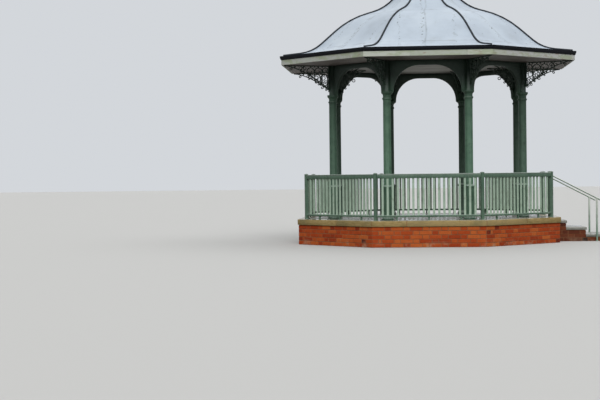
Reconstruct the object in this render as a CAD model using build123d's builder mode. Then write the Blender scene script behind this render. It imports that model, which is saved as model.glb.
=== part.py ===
from build123d import *
from math import cos, sin, tan, radians
import os

# Octagonal park bandstand: a brick plinth with a stone coping, eight iron columns with arches,
# a slatted railing, steps on the +X side, and a bell-shaped sheet roof with rolled hips.
# The origin is on the ground under the middle of the roof. The side facing -Y is the front.

# The octagon. A corner radius runs from the axis to a corner; a side lies nearer by COS.
SIDES = 8
HALF_CORNER = 180 / SIDES
COS = cos(radians(HALF_CORNER))
SIN = sin(radians(HALF_CORNER))
TAN = tan(radians(HALF_CORNER))
CORNER_AZIMUTHS = [-90 - HALF_CORNER + 360 / SIDES * k for k in range(SIDES)]
SIDE_AZIMUTHS = [-90 + 360 / SIDES * k for k in range(SIDES)]
ENTRANCE_SIDE = 2

# Plinth, coping and deck
COURSE_HEIGHT = 84
COURSE_COUNT = 5
PLINTH_HEIGHT = COURSE_HEIGHT * COURSE_COUNT
PLINTH_RADIUS = 3005
COPING_OVERHANG = 23
COPING_WIDTH = 358
COPING_HEIGHT = 120
COPING_CHAMFER = 10
COPING_RADIUS = PLINTH_RADIUS + COPING_OVERHANG
COPING_INNER_RADIUS = COPING_RADIUS - COPING_WIDTH
DECK_Z = PLINTH_HEIGHT + COPING_HEIGHT

# Steps on the entrance side
STEP_COUNT = 3
STEP_RISE = 150
STEP_GOING = 421
TOP_TREAD_DEPTH = 162
STEP_HALF_WIDTH = 600
TREAD_THICKNESS = 55
TREAD_NOSING = 20
TREAD_SIDE_OVERHANG = 15

# Railing
RAIL_INSET = 208
RAIL_RADIUS = COPING_RADIUS - RAIL_INSET
RAIL_POST_SIZE = 70
RAIL_POST_HEIGHT = 975
TOP_RAIL_TOP = 950
TOP_RAIL_HEIGHT = 90
TOP_RAIL_DEPTH = 56
BOTTOM_RAIL_BOTTOM = 70
BOTTOM_RAIL_HEIGHT = 40
BOTTOM_RAIL_DEPTH = 44
SLAT_COUNT = 19
SLAT_END_GAP = 83
SLAT_WIDTH = 44
SLAT_DEPTH = 22
RAIL_LEG_COUNT = 3
RAIL_LEG_GAP = 616
RAIL_LEG_SIZE = 34

# Gate posts beside the entrance and the sloping handrails
GATE_HALF_WIDTH = 650
GATE_SLAT_COUNT = 3
HANDRAIL_DIAMETER = 30
HANDRAIL_POST_DIAMETER = 42
HANDRAIL_POST_SETBACK = 192
HANDRAIL_POST_RAIL_Z = 925
HANDRAIL_SLOPE = 0.525
HANDRAIL_PAST_POST = 130
TUBE_SIDE_COUNT = 12

# Columns: eight-sided, with a flat towards each neighbour
COLUMN_RADIUS = 2197
COLUMN_BASE_WIDTH = 240
COLUMN_BASE_HEIGHT = 70
PEDESTAL_WIDTH = 196
PEDESTAL_RING_Z = 1185
PEDESTAL_RING_WIDTH = 222
PEDESTAL_RING_HEIGHT = 60
SHAFT_WIDTH = 168
NECK_RING_Z = 3029
NECK_RING_WIDTH = 192
NECK_RING_HEIGHT = 42
COLLAR_Z = 3128
COLLAR_WIDTH = 230
COLLAR_HEIGHT = 78
POST_WIDTH = 150
BASE_SLOPE_HEIGHT = 25
RING_SLOPE_HEIGHT = 15
COLLAR_SLOPE_HEIGHT = 34

# Arches between the posts above the collars: quarter circles drawn in short chords at the
# haunches and a short level crown between them
CEILING_Z = 3840
ARCH_THICKNESS = 60
ARCH_FOOT = 66
ARCH_CROWN_Z = 3735
ARCH_SPRING_Z = COLLAR_Z + COLLAR_HEIGHT
ARCH_CORBEL_HEIGHT = 24
HAUNCH_CHORD_COUNT = 11

# Scrolled brackets standing in the plane through the axis and a column. A scroll of the row
# curls over at its head, and a foot radius above nothing curls it back again on the brace.
BRACKET_THICKNESS = 16
BRACKET_BAR = 16
BRACKET_FOOT_Z = 3320
OUTER_BRACKET_END = 3290
INNER_BRACKET_LENGTH = 640
BRACE_BEND = 1.6
OUTER_BRACE_CHORD_COUNT = 7
INNER_BRACE_CHORD_COUNT = 5
SCROLL_BAR = 14
OUTER_HEAD_RADII = [62, 84, 84]
OUTER_FOOT_RADII = [0, 67, 45]
INNER_HEAD_RADII = [62, 84]
INNER_FOOT_RADII = [0, 56]
HUNG_RADIUS = 45
HUNG_REACH = 193
HUNG_DROP = 1.5
COLLAR_DROP = 20
BRACE_LEAN = 1.2
CURL_CHORD_TURN = 45
HEAD_CHORD_COUNT = 6
FOOT_CHORD_COUNT = 5
EVEN_CHORD_COUNT = 4
CURL_SHRINK = 0.72
BITE = 4

# Eaves
CEILING_THICKNESS = 20
EAVES_RADIUS = 3352
FASCIA_THICKNESS = 30
FASCIA_TOP_Z = 4000
GUTTER_BOTTOM_Z = 3945
GUTTER_TOP_Z = 4028
GUTTER_PROJECTION = 36
GUTTER_WALL = 5

# Roof profile, measured at the middle of a side: slopes in degrees, lengths in mm
ROOF_EDGE_Z = 4030
ROOF_THICKNESS = 30
EAVES_SLOPE = 8
EAVES_RUN = 400
EAVES_SEAT = 60
FLARE_RADIUS = 820
STEEP_SLOPE = 43
STEEP_RUN = 410
BELLY_RADIUS = 1830
SHOULDER_SLOPE = 17.5
SHOULDER_RUN = 95
SWEEP_RADIUS = 1020
SPIRE_SLOPE = 60
SPIRE_TOP_RADIUS = 150
HIP_WIDTH = 28
HIP_HEIGHT = 28
HIP_END_SETBACK = 42

# Chords in each stretch of the roof line: the panels, their hidden underside, and the hip rolls
PANEL_CHORD_COUNTS = [1, 5, 1, 5, 1, 7, 1]
UNDERSIDE_CHORD_COUNTS = [1, 2, 1, 2, 1, 3, 1]
ROLL_CHORD_COUNTS = [1, 4, 1, 4, 1, 5, 1]

# Finial: widths across flats
HUB_HEIGHT = 60
CAP_WIDTH = 310
CAP_HEIGHT = 22
CAP_SLOPE_HEIGHT = 110
NECK_WIDTH = 64
BULB_WIDTH = 150
BULB_HEIGHT = 150
BULB_SLOPE_HEIGHT = 45
SPIKE_WIDTH = 44
SPIKE_HEIGHT = 300
TIP_WIDTH = 12

os.makedirs("parts", exist_ok=True)


def save(builder, name):
    builder.part.label = name
    export_step(builder.part, f"parts/{name}.step")


def save_turned(model, azimuth, name):
    # A piece drawn pointing along +X, turned about the roof's axis to its own place
    with BuildPart() as placed:
        with Locations(Location((0, 0, 0), (0, 0, azimuth))):
            add(model.part)
    save(placed, name)


def octagon_ring(outer_radius, inner_radius):
    # Draws a ring between two octagons with their sides square to X and Y
    RegularPolygon(radius=outer_radius, side_count=SIDES, rotation=HALF_CORNER)
    RegularPolygon(radius=inner_radius, side_count=SIDES, rotation=HALF_CORNER, mode=Mode.SUBTRACT)


def eight_sided(outline, centre_x, flat_azimuth):
    # A solid cut by the same outline on its four pairs of flats: (height, width across flats)
    with BuildPart() as solid:
        for turn in range(SIDES // 2):
            azimuth = radians(flat_azimuth + turn * 360 / SIDES)
            face_plane = Plane(
                origin=(centre_x, 0, 0),
                x_dir=(cos(azimuth), sin(azimuth), 0),
                z_dir=(sin(azimuth), -cos(azimuth), 0),
            )
            with BuildSketch(face_plane):
                with BuildLine():
                    right = [(width / 2, height) for height, width in outline]
                    left = [(-x, height) for x, height in reversed(right)]
                    Polyline(*right, *left, close=True)
                make_face()
            widest = max(width for height, width in outline)
            extrude(amount=widest, both=True, mode=Mode.INTERSECT if turn else Mode.ADD)
    return solid


# Plinth: brick walls round a solid filling, one mass of masonry
with BuildPart() as plinth:
    with BuildSketch():
        RegularPolygon(radius=PLINTH_RADIUS, side_count=SIDES, rotation=HALF_CORNER)
    extrude(amount=PLINTH_HEIGHT)
save(plinth, "brick_plinth")

# Coping: a ring of stone round the top, its upper outer edge chamfered
with BuildPart() as coping:
    with BuildSketch(Plane.XY.offset(PLINTH_HEIGHT)):
        octagon_ring(COPING_RADIUS, COPING_INNER_RADIUS)
    extrude(amount=COPING_HEIGHT)
    top_edges = coping.faces().sort_by(Axis.Z)[-1].outer_wire().edges()
    chamfer(top_edges, length=COPING_CHAMFER)
save(coping, "stone_coping")

# Deck: the floor slab inside the coping
with BuildPart() as deck:
    with BuildSketch(Plane.XY.offset(PLINTH_HEIGHT)):
        RegularPolygon(radius=COPING_INNER_RADIUS, side_count=SIDES, rotation=HALF_CORNER)
    extrude(amount=COPING_HEIGHT)
save(deck, "deck_slab")

# Steps: stepped brickwork against the plinth, with a slab on each step
plinth_face = PLINTH_RADIUS * COS
coping_face = COPING_RADIUS * COS
top_step_front = coping_face + TOP_TREAD_DEPTH
step_tops = [STEP_RISE * (n + 1) for n in range(STEP_COUNT)]
step_fronts = [top_step_front + STEP_GOING * n for n in reversed(range(STEP_COUNT))]
with BuildPart() as step_brickwork:
    with BuildSketch(Plane.XZ):
        with BuildLine():
            outline = [(plinth_face, 0)]
            for front, top in zip(step_fronts, step_tops):
                outline.append((front, outline[-1][1]))
                outline.append((front, top - TREAD_THICKNESS))
            outline.append((coping_face, outline[-1][1]))
            outline.append((coping_face, PLINTH_HEIGHT))
            outline.append((plinth_face, PLINTH_HEIGHT))
            Polyline(*outline, close=True)
        make_face()
    extrude(amount=STEP_HALF_WIDTH, both=True)
save(step_brickwork, "step_brickwork")

with BuildPart() as treads:
    backs = step_fronts[1:] + [coping_face]
    for front, back, top in zip(step_fronts, backs, step_tops):
        depth = front + TREAD_NOSING - back
        with BuildSketch(Plane.XY.offset(top - TREAD_THICKNESS)):
            with Locations((back + depth / 2, 0)):
                Rectangle(depth, 2 * (STEP_HALF_WIDTH + TREAD_SIDE_OVERHANG))
        extrude(amount=TREAD_THICKNESS)
save(treads, "step_treads")

# Corner posts of the railing, square to the corner
with BuildPart() as corner_posts:
    with BuildSketch(Plane.XY.offset(DECK_Z)):
        with PolarLocations(RAIL_RADIUS, SIDES, start_angle=HALF_CORNER):
            Rectangle(RAIL_POST_SIZE, RAIL_POST_SIZE)
    extrude(amount=RAIL_POST_HEIGHT)
save(corner_posts, "railing_posts")

rail_middle = RAIL_RADIUS * COS
rail_half_side = RAIL_RADIUS * SIN
top_rail_z = DECK_Z + TOP_RAIL_TOP - TOP_RAIL_HEIGHT
bottom_rail_z = DECK_Z + BOTTOM_RAIL_BOTTOM
slat_z = bottom_rail_z + BOTTOM_RAIL_HEIGHT
slat_height = top_rail_z - slat_z
post_face = rail_half_side - RAIL_POST_SIZE / 2 / COS
slat_pitch = (2 * (post_face - SLAT_END_GAP) - SLAT_WIDTH) / (SLAT_COUNT - 1)


def rail_end(depth):
    # The two ends of a rail's slanted cut against a corner post: inner point, outer point
    inner = (rail_middle - depth / 2, post_face - depth / 2 * TAN)
    outer = (rail_middle + depth / 2, post_face + depth / 2 * TAN)
    return inner, outer


def full_rail(depth):
    inner, outer = rail_end(depth)
    mirrored = [(outer[0], -outer[1]), (inner[0], -inner[1])]
    Polyline(inner, outer, *mirrored, close=True)


def short_rail(depth):
    # A rail from a corner post to the gate post beside the entrance
    inner, outer = rail_end(depth)
    gate_face = GATE_HALF_WIDTH + RAIL_POST_SIZE / 2
    Polyline(inner, outer, (outer[0], gate_face), (inner[0], gate_face), close=True)


# Railing panel: top rail, bottom rail on three short legs, and upright slats
with BuildPart() as railing_panel:
    with BuildSketch(Plane.XY.offset(top_rail_z)):
        with BuildLine():
            full_rail(TOP_RAIL_DEPTH)
        make_face()
    extrude(amount=TOP_RAIL_HEIGHT)
    with BuildSketch(Plane.XY.offset(bottom_rail_z)):
        with BuildLine():
            full_rail(BOTTOM_RAIL_DEPTH)
        make_face()
    extrude(amount=BOTTOM_RAIL_HEIGHT)
    with BuildSketch(Plane.XY.offset(slat_z)):
        with Locations((rail_middle, 0)):
            with GridLocations(0, slat_pitch, 1, SLAT_COUNT):
                Rectangle(SLAT_DEPTH, SLAT_WIDTH)
    extrude(amount=slat_height)
    with BuildSketch(Plane.XY.offset(DECK_Z)):
        with Locations((rail_middle, 0)):
            with GridLocations(0, RAIL_LEG_GAP + RAIL_LEG_SIZE, 1, RAIL_LEG_COUNT):
                Rectangle(RAIL_LEG_SIZE, RAIL_LEG_SIZE)
    extrude(amount=BOTTOM_RAIL_BOTTOM)

panel_number = 0
for side, azimuth in enumerate(SIDE_AZIMUTHS):
    if side != ENTRANCE_SIDE:
        panel_number += 1
        save_turned(railing_panel, azimuth, f"railing_panel_{panel_number}")

# Gate posts and the short railing between each one and its corner post
gate_slat_pitch = (rail_half_side - GATE_HALF_WIDTH) / (GATE_SLAT_COUNT + 1)
gate_slat_middle = (rail_half_side + GATE_HALF_WIDTH) / 2
with BuildPart() as gate_side:
    with BuildSketch(Plane.XY.offset(DECK_Z)):
        with Locations((rail_middle, GATE_HALF_WIDTH)):
            Rectangle(RAIL_POST_SIZE, RAIL_POST_SIZE)
    extrude(amount=RAIL_POST_HEIGHT)
    with BuildSketch(Plane.XY.offset(top_rail_z)):
        with BuildLine():
            short_rail(TOP_RAIL_DEPTH)
        make_face()
    extrude(amount=TOP_RAIL_HEIGHT)
    with BuildSketch(Plane.XY.offset(bottom_rail_z)):
        with BuildLine():
            short_rail(BOTTOM_RAIL_DEPTH)
        make_face()
    extrude(amount=BOTTOM_RAIL_HEIGHT)
    with BuildSketch(Plane.XY.offset(slat_z)):
        with Locations((rail_middle, gate_slat_middle)):
            with GridLocations(0, gate_slat_pitch, 1, GATE_SLAT_COUNT):
                Rectangle(SLAT_DEPTH, SLAT_WIDTH)
    extrude(amount=slat_height)
save(gate_side, "gate_railing_back")

with BuildPart() as gate_front:
    add(gate_side.part)
    mirror(about=Plane.XZ, mode=Mode.REPLACE)
save(gate_front, "gate_railing_front")

# Handrails: a sloping tube from the gate post down past an upright post beside the steps
handrail_start_x = rail_middle + RAIL_POST_SIZE / 2
handrail_post_x = step_fronts[0] - HANDRAIL_POST_SETBACK
handrail_end_x = handrail_post_x + HANDRAIL_PAST_POST


def handrail_z(x):
    return HANDRAIL_POST_RAIL_Z + (handrail_post_x - x) * HANDRAIL_SLOPE


handrail_slope_plane = Plane(
    origin=(handrail_start_x, GATE_HALF_WIDTH, handrail_z(handrail_start_x)),
    x_dir=(0, 1, 0),
    z_dir=(1, 0, -HANDRAIL_SLOPE),
)
handrail_length = (handrail_end_x - handrail_start_x) * (1 + HANDRAIL_SLOPE**2) ** 0.5
with BuildPart() as handrail_back:
    with BuildSketch(handrail_slope_plane):
        RegularPolygon(radius=HANDRAIL_DIAMETER / 2, side_count=TUBE_SIDE_COUNT)
    extrude(amount=handrail_length)
    extrude(handrail_back.faces().sort_by(Axis.X)[0], amount=HANDRAIL_DIAMETER)
    split(bisect_by=Plane(origin=(handrail_start_x, 0, 0), z_dir=(1, 0, 0)), keep=Keep.TOP)
    with BuildSketch(Plane.XY):
        with Locations((handrail_post_x, GATE_HALF_WIDTH)):
            RegularPolygon(radius=HANDRAIL_POST_DIAMETER / 2, side_count=TUBE_SIDE_COUNT)
    extrude(amount=HANDRAIL_POST_RAIL_Z)
save(handrail_back, "handrail_back")

with BuildPart() as handrail_front:
    add(handrail_back.part)
    mirror(about=Plane.XZ, mode=Mode.REPLACE)
save(handrail_front, "handrail_front")

# Column: moulded base, pedestal and its ring, shaft, neck ring, collar, and the post above it
column_outline = [
    (DECK_Z, COLUMN_BASE_WIDTH),
    (DECK_Z + COLUMN_BASE_HEIGHT - BASE_SLOPE_HEIGHT, COLUMN_BASE_WIDTH),
    (DECK_Z + COLUMN_BASE_HEIGHT, PEDESTAL_WIDTH),
    (PEDESTAL_RING_Z, PEDESTAL_WIDTH),
    (PEDESTAL_RING_Z + RING_SLOPE_HEIGHT, PEDESTAL_RING_WIDTH),
    (PEDESTAL_RING_Z + PEDESTAL_RING_HEIGHT - RING_SLOPE_HEIGHT, PEDESTAL_RING_WIDTH),
    (PEDESTAL_RING_Z + PEDESTAL_RING_HEIGHT, SHAFT_WIDTH),
    (NECK_RING_Z, SHAFT_WIDTH),
    (NECK_RING_Z + NECK_RING_HEIGHT / 2, NECK_RING_WIDTH),
    (NECK_RING_Z + NECK_RING_HEIGHT, SHAFT_WIDTH),
    (COLLAR_Z, SHAFT_WIDTH),
    (COLLAR_Z + COLLAR_SLOPE_HEIGHT, COLLAR_WIDTH),
    (COLLAR_Z + COLLAR_HEIGHT, COLLAR_WIDTH),
    (COLLAR_Z + COLLAR_HEIGHT, POST_WIDTH),
    (CEILING_Z, POST_WIDTH),
]
column = eight_sided(column_outline, COLUMN_RADIUS, HALF_CORNER)
for number, azimuth in enumerate(CORNER_AZIMUTHS, 1):
    save_turned(column, azimuth, f"column_{number}")

# Arch: a plate between two posts, its feet on the collars. Each foot ends in a small corbel
# against the upright side of the collar. The right half is drawn and mirrored.
arch_middle = COLUMN_RADIUS * COS
arch_half = COLUMN_RADIUS * SIN - POST_WIDTH / 2
arch_opening = arch_half - ARCH_FOOT
haunch_radius = ARCH_CROWN_Z - ARCH_SPRING_Z
haunch_angles = [radians(90 * n / HAUNCH_CHORD_COUNT) for n in range(HAUNCH_CHORD_COUNT + 1)]
level_half = arch_opening - haunch_radius
collar_face = arch_half - (COLLAR_WIDTH - POST_WIDTH) / 2
right_half = [
    (arch_half, CEILING_Z),
    (arch_half, ARCH_SPRING_Z),
    (collar_face, ARCH_SPRING_Z),
    (collar_face, COLLAR_Z + COLLAR_SLOPE_HEIGHT),
    (arch_opening, ARCH_SPRING_Z - ARCH_CORBEL_HEIGHT),
]
for angle in haunch_angles:
    across = level_half + haunch_radius * cos(angle)
    right_half.append((across, ARCH_SPRING_Z + haunch_radius * sin(angle)))
left_half = [(-across, z) for across, z in reversed(right_half)]
arch_plane = Plane(origin=(arch_middle, 0, 0), x_dir=(0, 1, 0), z_dir=(1, 0, 0))
with BuildPart() as arch:
    with BuildSketch(arch_plane):
        with BuildLine():
            Polyline(*right_half, *left_half, close=True)
        make_face()
    extrude(amount=ARCH_THICKNESS / 2, both=True)
for number, azimuth in enumerate(SIDE_AZIMUTHS, 1):
    save_turned(arch, azimuth, f"arch_{number}")

# Brackets: flat bars and scrolls under the soffit outside and under the ceiling inside.
# Each is drawn outwards from the post's corner and then set outside it or mirrored inside.
top_bar_low = CEILING_Z - BRACKET_BAR
brace_drop = top_bar_low - BRACKET_FOOT_Z
arch_top = top_bar_low - COLLAR_DROP
post_corner = POST_WIDTH / 2 / COS


def band(points_and_normals, width):
    # Outline of a flat bar of the given width along points, each with the direction square to it
    outer = [(x + nx * width / 2, z + nz * width / 2) for x, z, nx, nz in points_and_normals]
    inner = [(x - nx * width / 2, z - nz * width / 2) for x, z, nx, nz in points_and_normals]
    return [*outer, *reversed(inner)]


def curl(centre_x, centre_z, radius, across, up, chords):
    # Points of a curl, half a turn at an even radius and the rest tightening. It starts on the
    # side away from across, 1 or -1, and goes over the top where up is 1, under it where -1.
    points = []
    for n in range(chords + 1):
        angle = radians(180 - n * CURL_CHORD_TURN)
        direction = (across * cos(angle), up * sin(angle))
        reach = radius * CURL_SHRINK ** max(0, n - EVEN_CHORD_COUNT)
        place = (centre_x + reach * direction[0], centre_z + reach * direction[1])
        points.append((*place, across * up * direction[0], across * up * direction[1]))
    return points


def brace_z(distance, length):
    # Height of the lower bar, which sweeps up from the foot of the post to the end of the top bar
    return top_bar_low + BRACKET_BAR / 2 - brace_drop * (1 - distance / length) ** BRACE_BEND


def brace(length, chords):
    points = []
    for n in range(chords + 1):
        distance = BRACKET_BAR / 2 + (length - BRACKET_BAR / 2) * n / chords
        left_over = 1 - distance / length
        slope = brace_drop * BRACE_BEND / length * left_over ** (BRACE_BEND - 1)
        size = (1 + slope**2) ** 0.5
        points.append((distance, brace_z(distance, length), -slope / size, 1 / size))
    return band(points, BRACKET_BAR)


def bracket(length, chords, head_radii, foot_radii, hung_radius):
    scrolls = []
    collar_distances = []
    reach = BRACKET_BAR - BITE
    for radius, foot_radius in zip(head_radii, foot_radii):
        distance = reach + SCROLL_BAR / 2 + radius
        centre_z = arch_top - SCROLL_BAR / 2 - radius
        head = curl(distance, centre_z, radius, 1, 1, HEAD_CHORD_COUNT)
        foot = [(distance - radius, centre_z - radius, -1, 0)]
        if foot_radius > 0:
            foot_distance = distance - radius - foot_radius
            foot_z = brace_z(foot_distance, length) + BRACE_LEAN * foot_radius
            foot = reversed(curl(foot_distance, foot_z, foot_radius, -1, -1, FOOT_CHORD_COUNT))
            foot = [(x, z, -nx, -nz) for x, z, nx, nz in foot]
        scrolls.append(band([*foot, *head], SCROLL_BAR))
        collar_distances.append(distance)
        reach = distance + radius + SCROLL_BAR / 2 - BITE
    if hung_radius > 0:
        hung_distance = reach + HUNG_REACH
        hung_top = (hung_distance - hung_radius, top_bar_low + BITE, 1, 0)
        hung_z = top_bar_low - HUNG_DROP * hung_radius
        hung = curl(hung_distance, hung_z, hung_radius, 1, -1, FOOT_CHORD_COUNT)
        scrolls.append(band([hung_top, *hung], SCROLL_BAR))
    with BuildPart() as flat_bracket:
        with BuildSketch(Plane.XZ):
            with Locations((length / 2, CEILING_Z - BRACKET_BAR / 2)):
                Rectangle(length, BRACKET_BAR)
            with Locations((0, BRACKET_FOOT_Z)):
                strap_height = CEILING_Z - BRACKET_FOOT_Z
                Rectangle(BRACKET_BAR, strap_height, align=(Align.MIN, Align.MIN))
            with Locations(*[(x, arch_top + COLLAR_DROP / 2) for x in collar_distances]):
                Rectangle(SCROLL_BAR, COLLAR_DROP + 2 * BITE)
            for outline in [brace(length, chords), *scrolls]:
                with BuildLine():
                    Polyline(*outline, close=True)
                make_face()
        extrude(amount=BRACKET_THICKNESS / 2, both=True)
    return flat_bracket


outer_length = OUTER_BRACKET_END - COLUMN_RADIUS - post_corner
outer_bracket = bracket(
    outer_length, OUTER_BRACE_CHORD_COUNT, OUTER_HEAD_RADII, OUTER_FOOT_RADII, HUNG_RADIUS
)
with BuildPart() as outer_brackets:
    with PolarLocations(COLUMN_RADIUS + post_corner, SIDES, start_angle=HALF_CORNER):
        add(outer_bracket.part)
save(outer_brackets, "outer_brackets")

inner_bracket = bracket(
    INNER_BRACKET_LENGTH, INNER_BRACE_CHORD_COUNT, INNER_HEAD_RADII, INNER_FOOT_RADII, 0
)
with BuildPart() as inner_brackets:
    with PolarLocations(post_corner - COLUMN_RADIUS, SIDES, start_angle=HALF_CORNER):
        add(inner_bracket.part)
save(inner_brackets, "inner_brackets")

# Ceiling and soffit: level boards that meet over the arches
with BuildPart() as ceiling:
    with BuildSketch(Plane.XY.offset(CEILING_Z)):
        RegularPolygon(radius=COLUMN_RADIUS, side_count=SIDES, rotation=HALF_CORNER)
    extrude(amount=CEILING_THICKNESS)
save(ceiling, "ceiling")

fascia_inner_radius = EAVES_RADIUS - FASCIA_THICKNESS / COS
with BuildPart() as soffit:
    with BuildSketch(Plane.XY.offset(CEILING_Z)):
        octagon_ring(fascia_inner_radius, COLUMN_RADIUS)
    extrude(amount=CEILING_THICKNESS)
save(soffit, "soffit")

# Fascia board round the eaves, its lower edge level with the soffit
with BuildPart() as fascia:
    with BuildSketch(Plane.XY.offset(CEILING_Z)):
        octagon_ring(EAVES_RADIUS, fascia_inner_radius)
    extrude(amount=FASCIA_TOP_Z - CEILING_Z)
save(fascia, "eaves_fascia")

# Gutter: an open channel on the upper part of the fascia
gutter_radius = EAVES_RADIUS + GUTTER_PROJECTION / COS
with BuildPart() as gutter:
    with BuildSketch(Plane.XY.offset(GUTTER_BOTTOM_Z)):
        octagon_ring(gutter_radius, EAVES_RADIUS)
    extrude(amount=GUTTER_TOP_Z - GUTTER_BOTTOM_Z)
    with BuildSketch(Plane.XY.offset(GUTTER_BOTTOM_Z + GUTTER_WALL)):
        octagon_ring(gutter_radius - GUTTER_WALL / COS, EAVES_RADIUS + GUTTER_WALL / COS)
    extrude(amount=GUTTER_TOP_Z - GUTTER_BOTTOM_Z, mode=Mode.SUBTRACT)
save(gutter, "gutter")

# Roof: the bell-shaped line from the eaves to the hub, at the middle of a side
roof_edge = EAVES_RADIUS * COS
hub_half_width = SPIRE_TOP_RADIUS * COS


def inward(slope):
    # Direction of travel towards the axis at a slope above level
    return (-cos(radians(slope)), sin(radians(slope)))


def along(start, slope, length):
    direction = inward(slope)
    return (start[0] + direction[0] * length, start[1] + direction[1] * length)


def lifted(point, slope, lift):
    return (point[0] + sin(radians(slope)) * lift, point[1] + cos(radians(slope)) * lift)


def upper_line():
    # Draws the roof's upper line and gives its stretches in order, straight ones and arcs
    eaves = Line(roof_start, along(roof_start, EAVES_SLOPE, EAVES_RUN))
    flare = JernArc(eaves @ 1, inward(EAVES_SLOPE), FLARE_RADIUS, EAVES_SLOPE - STEEP_SLOPE)
    steep = Line(flare @ 1, along(tuple(flare @ 1)[:2], STEEP_SLOPE, STEEP_RUN))
    belly = JernArc(steep @ 1, inward(STEEP_SLOPE), BELLY_RADIUS, STEEP_SLOPE - SHOULDER_SLOPE)
    shoulder = Line(belly @ 1, along(tuple(belly @ 1)[:2], SHOULDER_SLOPE, SHOULDER_RUN))
    sweep_turn = SHOULDER_SLOPE - SPIRE_SLOPE
    rise = JernArc(shoulder @ 1, inward(SHOULDER_SLOPE), SWEEP_RADIUS, sweep_turn)
    spire_length = ((rise @ 1).X - hub_half_width) / cos(radians(SPIRE_SLOPE))
    spire = Line(rise @ 1, along(tuple(rise @ 1)[:2], SPIRE_SLOPE, spire_length))
    return [eaves, flare, steep, belly, shoulder, rise, spire]


def inner_points(chords, lift):
    # Points on the roof line, lifted square to it, after its first point and before its last
    points = []
    for stretch, count in zip(roof_stretches, chords):
        for n in range(count):
            place = stretch @ (n / count)
            direction = stretch % (n / count)
            points.append((place.X + direction.Y * lift, place.Y - direction.X * lift))
    return points[1:]


roof_start = (roof_edge, ROOF_EDGE_Z)
seat_end = (roof_edge - EAVES_SEAT, FASCIA_TOP_Z)
under_start = lifted(along(roof_start, EAVES_SLOPE, EAVES_SEAT), EAVES_SLOPE, -ROOF_THICKNESS)
with BuildLine():
    roof_stretches = upper_line()
spire_top_z = (roof_stretches[-1] @ 1).Y
roof_top = (hub_half_width, spire_top_z)
under_top = (hub_half_width, spire_top_z - ROOF_THICKNESS / cos(radians(SPIRE_SLOPE)))
underside = [under_start, *inner_points(UNDERSIDE_CHORD_COUNTS, -ROOF_THICKNESS), under_top]
eaves_block = [roof_start, (roof_edge, FASCIA_TOP_Z), seat_end]
panel_line = [roof_top, *reversed(inner_points(PANEL_CHORD_COUNTS, 0))]
with BuildPart() as roof_panel:
    with BuildSketch(Plane.XZ):
        with BuildLine():
            Polyline(*eaves_block, *underside, *panel_line, close=True)
        make_face()
    extrude(amount=EAVES_RADIUS, both=True)
    for side in (-1, 1):
        edge = radians(side * HALF_CORNER)
        across = (sin(edge) * HIP_WIDTH / 2 * side, -cos(edge) * HIP_WIDTH / 2 * side, 0)
        side_plane = Plane(origin=across, z_dir=(-sin(edge), cos(edge), 0))
        split(bisect_by=side_plane, keep=Keep.BOTTOM if side > 0 else Keep.TOP)
with BuildPart() as roof_panels:
    with PolarLocations(0, SIDES):
        add(roof_panel.part)
save(roof_panels, "roof_panels")

# Hips: a dark roll between each two panels, on the same line stretched out to the corner
hip_foot = roof_edge - HIP_WIDTH / 2 * TAN * COS
end_x = roof_edge - HIP_END_SETBACK
end_z = ROOF_EDGE_Z + HIP_END_SETBACK * tan(radians(EAVES_SLOPE))
roll_end = [(end_x, end_z + HIP_HEIGHT / cos(radians(EAVES_SLOPE))), (end_x, end_z)]
hip_end = [*roll_end, (hip_foot, ROOF_EDGE_Z), (hip_foot, FASCIA_TOP_Z), seat_end]
roll_top = (hub_half_width, spire_top_z + HIP_HEIGHT / cos(radians(SPIRE_SLOPE)))
roll_line = [*reversed(inner_points(ROLL_CHORD_COUNTS, HIP_HEIGHT))]
hip_outline = [*hip_end, *underside, roll_top, *roll_line]
with BuildPart() as hip:
    with BuildSketch(Plane.XZ):
        with BuildLine():
            Polyline(*[(x / COS, z) for x, z in hip_outline], close=True)
        make_face()
    extrude(amount=HIP_WIDTH / 2, both=True)
with BuildPart() as hips:
    with PolarLocations(0, SIDES, start_angle=HALF_CORNER):
        add(hip.part)
save(hips, "hip_rolls")

# Finial: a hub that the panels lean on, a sloping cap, a bulb and a spike, all eight-sided
hub_top = spire_top_z + HUB_HEIGHT
neck_z = hub_top + CAP_HEIGHT + CAP_SLOPE_HEIGHT
bulb_top = neck_z + BULB_HEIGHT
finial_outline = [
    (under_top[1], 2 * hub_half_width),
    (hub_top, 2 * hub_half_width),
    (hub_top, CAP_WIDTH),
    (hub_top + CAP_HEIGHT, CAP_WIDTH),
    (neck_z, NECK_WIDTH),
    (neck_z + BULB_SLOPE_HEIGHT, BULB_WIDTH),
    (bulb_top - BULB_SLOPE_HEIGHT, BULB_WIDTH),
    (bulb_top, SPIKE_WIDTH),
    (bulb_top + SPIKE_HEIGHT, TIP_WIDTH),
]
finial = eight_sided(finial_outline, 0, 0)
save(finial, "finial")
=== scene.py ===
import random
from functools import partial
from math import atan2, cos, sin, pi, radians

import bpy
from mathutils import Matrix, Vector


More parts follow.
